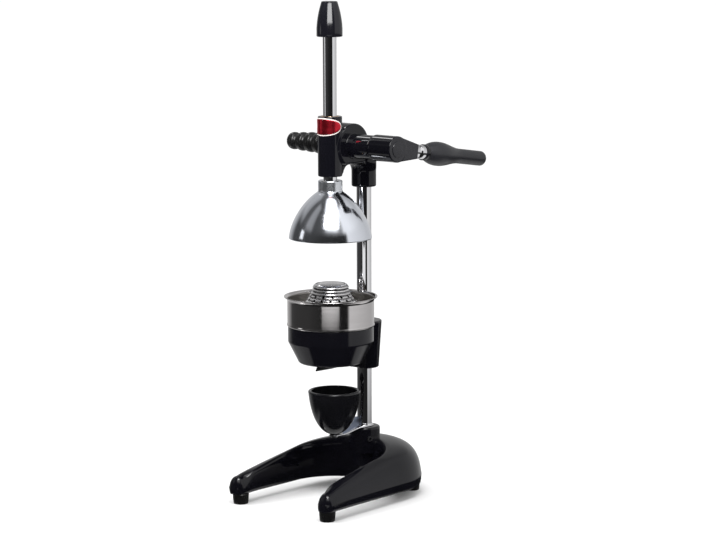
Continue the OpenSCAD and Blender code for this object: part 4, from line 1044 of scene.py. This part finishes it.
def bell():
    """The press bell and the neck that takes the ram."""
    lo, hi = extent("press_bell")
    z, top = lo.z, hi.z
    r, dome, power, neck = 60.4, 75.0, 1.6, 17.7
    wall, hollow, roof_r = 3.5, 54.0, 16.0

    def side(a, b, h):
        """Radius at height h of a dome of radius a and full height b."""
        return a * max(0.0, 1 - (h / b) ** power) ** (1 / power)

    shoulder = dome * (1 - (neck / r) ** power) ** (1 / power)
    outline = [(r - wall, z + 0.5), (r - wall + 0.6, z), (r - 0.6, z), (r, z + 0.5)]
    outline += [(side(r, dome, shoulder * i / 48), z + shoulder * i / 48) for i in range(1, 47)]
    outline += rounded([outline[-1], (neck, z + shoulder), (neck, top - 1.4)], [0, 3.5, 0], 6)[1:]
    outline += [(neck - 0.5, top - 0.4), (neck - 1.5, top), (RAM_BORE, top), (RAM_BORE, top - 20)]
    a = r - wall
    roof = hollow * (1 - (roof_r / a) ** power) ** (1 / power)
    outline += [(4.1, top - 20), (4.1, z + roof)]
    outline += [(side(a, hollow, roof * i / 30), z + roof * i / 30) for i in range(30, -1, -1)]
    outline[-1] = (a, z + 0.5)
    obj = turned("bell_shell", outline, "ram", "bell_alloy", "press_bell", sides=192, angle=60)
    add_look(obj, "neck_alloy", lambda c, n: c.z > (z + shoulder + 1) * MM and abs(n.z) < 0.5)


stand()
feet()
column()
cup_arm()
drip_cup()
holder()
bowl()
cone()
head()
badge()
gear_cover()
side_grip()
lever_hub()
lever_parts()
ram()
ram_cap()
bell()
dress_cad_nodes()

# ---- camera, light and floor

VIEW_AZIMUTH = 40.589
VIEW_ELEVATION = 8.667
VIEW_ROLL = -0.171
VIEW_DISTANCE = 3924.2
VIEW_SIDE = 39.837
VIEW_HEIGHT = 340.52
LENS = 135.75
FLOOR_REACH = 60000


def camera():
    """Camera at the photo's viewing angle; it looks at a point beside the ram at half height."""
    a, e, roll = map(radians, (VIEW_AZIMUTH, VIEW_ELEVATION, VIEW_ROLL))
    back = Vector((sin(a) * cos(e), -cos(a) * cos(e), sin(e)))
    right = Vector((cos(a), sin(a), 0))
    up = back.cross(right)
    rolled_right = right * cos(roll) + up * sin(roll)
    rolled_up = up * cos(roll) - right * sin(roll)
    target = right * VIEW_SIDE + Vector((0, 0, VIEW_HEIGHT))
    data = bpy.data.cameras.new("camera")
    data.lens = LENS
    data.sensor_width = 36
    data.clip_start, data.clip_end = 0.1, 50
    cam = put("camera", data)
    turn = Matrix((rolled_right, rolled_up, back)).transposed().to_4x4()
    cam.matrix_world = Matrix.Translation((target + back * VIEW_DISTANCE) * MM) @ turn
    bpy.context.scene.camera = cam
    bpy.context.scene.view_settings.view_transform = "Standard"


def ramp(tree, angle, stops):
    """Brightness round the horizon; stops are (degrees from the camera, brightness)."""
    node = new_node(tree, "ValToRGB", {"Fac": angle})
    elements = node.color_ramp.elements
    for i, (deg, level) in enumerate(stops):
        pos = (deg + 180) / 360
        e = elements[i] if i < 2 else elements.new(pos)
        e.position = pos
        e.color = (level, level, level, 1)
    return node.outputs["Color"]


def mix(tree, a, b, factor=None):
    """Fades from a to b by a factor; without one, adds b to a."""
    blend = "ADD" if factor is None else "MIX"
    inputs = {"Factor": 1.0 if factor is None else factor, "A": a, "B": b}
    return new_node(tree, "Mix", inputs, data_type="RGBA", blend_type=blend).outputs["Result"]


def calc(tree, operation, *values):
    """The result of a sum on numbers or other nodes' outputs."""
    return new_node(tree, "Math", dict(enumerate(values)), operation=operation).outputs["Value"]


def dot(tree, vector, axis):
    """How far a direction points along an axis, from -1 to 1."""
    return new_node(tree, "VectorMath", {0: vector, 1: axis}, operation="DOT_PRODUCT").outputs["Value"]


def step(tree, value, start, end):
    """0 below start, 1 above end, smooth between."""
    inputs = {"From Min": start, "From Max": end, "Value": value}
    return new_node(tree, "MapRange", inputs, interpolation_type="SMOOTHSTEP").outputs["Result"]


# Brightness of the studio by angle to the right of the camera, at rising heights
FLOOR_LIGHT = [(-180, 0.6), (-90, 0.6), (-82, 0.012), (94, 0.012), (102, 0.75), (120, 0.8), (180, 0.7)]
LOW_LIGHT = [(-180, 0.7), (-128, 0.3), (-112, 0.02), (180, 0.02)]
HORIZON_LIGHT = [
    (-180, 0.55), (-150, 0.5), (-136, 0.3), (-124, 0.06), (-102, 0.05),
    (-60, 0.045), (-20, 0.02), (26, 0.012), (46, 0.012), (52, 0.85), (62, 0.8), (100, 0.66), (130, 0.55),
    (160, 0.6), (180, 0.5),
]
HIGH_LIGHT = [
    (-180, 0.35), (-150, 0.45), (-128, 0.42), (-112, 0.3), (-104, 0.08), (-90, 0.1), (-82, 0.32),
    (-64, 0.28), (-56, 0.06), (-24, 0.05), (28, 0.2), (36, 0.3), (44, 0.95), (64, 0.95), (104, 0.7),
    (144, 0.4), (180, 0.35),
]
TOP_LIGHT = [(-180, 0.2), (-60, 0.04), (60, 0.04), (180, 0.2)]
# Heights, as sines of the angle above the horizon, over which one of them fades into the next
BAND_EDGES = ((-0.6, -0.45), (-0.24, -0.17), (0.3, 0.5), (0.86, 0.93))
# Front soft box, tilted down at 45 degrees: its edges across and up on its plane, their softness, its glow
LEFT, RIGHT, BOTTOM, TOP, SOFT, GLOW = -0.03, 0.15, 0.06, 0.9, 0.22, 3.0
# Small lamps: direction, radius in degrees, brightness
LAMPS = [
    ((0.41, -0.401, 0.819), 4.0, 26.0),
    ((-0.643, 0.255, 0.722), 5.0, 7.0),
    ((-0.643, -0.046, -0.765), 5.0, 3.5),
]
WHITE = 1.18  # strength of the plain white that the camera and matt surfaces see


def studio():
    """White to the camera; shiny surfaces see soft boxes and dark gaps round a studio."""
    world = bpy.data.worlds.new("studio")
    bpy.context.scene.world = world
    world.use_nodes = True
    tree = world.node_tree
    tree.nodes.clear()
    direction = new_node(tree, "TexCoord", {}).outputs["Generated"]
    a = radians(VIEW_AZIMUTH)
    ahead = dot(tree, direction, (sin(a), -cos(a), 0))
    aside = dot(tree, direction, (cos(a), sin(a), 0))
    height = dot(tree, direction, (0, 0, 1))
    turn = calc(tree, "ARCTAN2", aside, ahead)
    angle = calc(tree, "MULTIPLY_ADD", turn, 1 / (2 * pi), 0.5)
    stops = (FLOOR_LIGHT, LOW_LIGHT, HORIZON_LIGHT, HIGH_LIGHT, TOP_LIGHT)
    bands = [ramp(tree, angle, row) for row in stops]
    seen = bands[0]
    for band, (start, end) in zip(bands[1:], BAND_EDGES):
        seen = mix(tree, seen, band, step(tree, height, start, end))

    facing = calc(tree, "ADD", ahead, height)
    across = calc(tree, "DIVIDE", aside, facing)
    up = calc(tree, "DIVIDE", calc(tree, "SUBTRACT", height, ahead), facing)
    edges = (
        step(tree, across, LEFT - SOFT, LEFT),
        step(tree, across, RIGHT + SOFT, RIGHT),
        step(tree, up, BOTTOM - 2 * SOFT, BOTTOM),
        step(tree, up, TOP + SOFT, TOP),
    )
    glow = calc(tree, "MULTIPLY", step(tree, facing, 0.2, 0.4), GLOW)
    for edge in edges:
        glow = calc(tree, "MULTIPLY", glow, edge)
    seen = mix(tree, seen, glow)
    for aim, radius, strength in LAMPS:
        toward = dot(tree, direction, Vector(aim).normalized())
        inner, outer = cos(radians(radius * 0.6)), cos(radians(radius))
        spot = calc(tree, "MULTIPLY", step(tree, toward, outer, inner), strength)
        seen = mix(tree, seen, spot)

    path = new_node(tree, "LightPath", {})
    boxes = new_node(tree, "Background", {"Color": seen})
    white = new_node(tree, "Background", {"Color": (1, 1, 1, 1), "Strength": WHITE})
    inputs = {"Fac": path.outputs["Is Glossy Ray"], 1: white.outputs[0], 2: boxes.outputs[0]}
    shader = new_node(tree, "MixShader", inputs)
    new_node(tree, "OutputWorld", {"Surface": shader.outputs["Shader"]})


def round_camera(distance, turn, height):
    """A point in metres at a distance from the ram's axis, turned some degrees to the camera's right."""
    a = radians(VIEW_AZIMUTH + turn)
    return (distance * sin(a), -distance * cos(a), height)


def area_light(name, place, aim, size, power, glossy):
    """A lamp panel in metres and watts; glossy says whether shiny surfaces mirror it."""
    data = bpy.data.lights.new(name, "AREA")
    data.shape = "RECTANGLE"
    data.size, data.size_y = size
    data.energy = power
    light = put(name, data)
    light.location = place
    light.rotation_euler = (Vector(aim) - Vector(place)).to_track_quat("-Z", "Y").to_euler()
    light.visible_glossy = glossy
    light.visible_camera = False


def floor():
    """A white floor, a hair below the feet."""
    bm = bmesh.new()
    r = FLOOR_REACH
    corners = [(-r, -r), (r, -r), (r, r), (-r, r)]
    bm.faces.new([bm.verts.new((x, y, -0.05)) for x, y in corners])
    obj = to_object("floor", bm)
    mat, _, _ = material("floor_white", (0.88, 0.88, 0.88), 0.5, specular=0.0)
    obj.data.materials.append(mat)
    obj.visible_glossy = False


camera()
studio()
area_light("key_light", (-1.2, -1.6, 2.4), (0, 0, 0.3), (1.6, 1.6), 30, False)
area_light("cap_panel", round_camera(0.45, 3, 0.9), (0, 0, 0.71), (0.4, 0.27), 3.9, True)
area_light("left_panel", round_camera(1, -87, 0.6), (0, 0, 0.6), (0.2, 0.28), 0.19, True)
x, y, z = round_camera(1.5, 0, 0.085)
area_light("low_panel", (x, y, z), (x * 0.3, y * 0.3, z), (1.25, 0.12), 0.44, True)
floor()
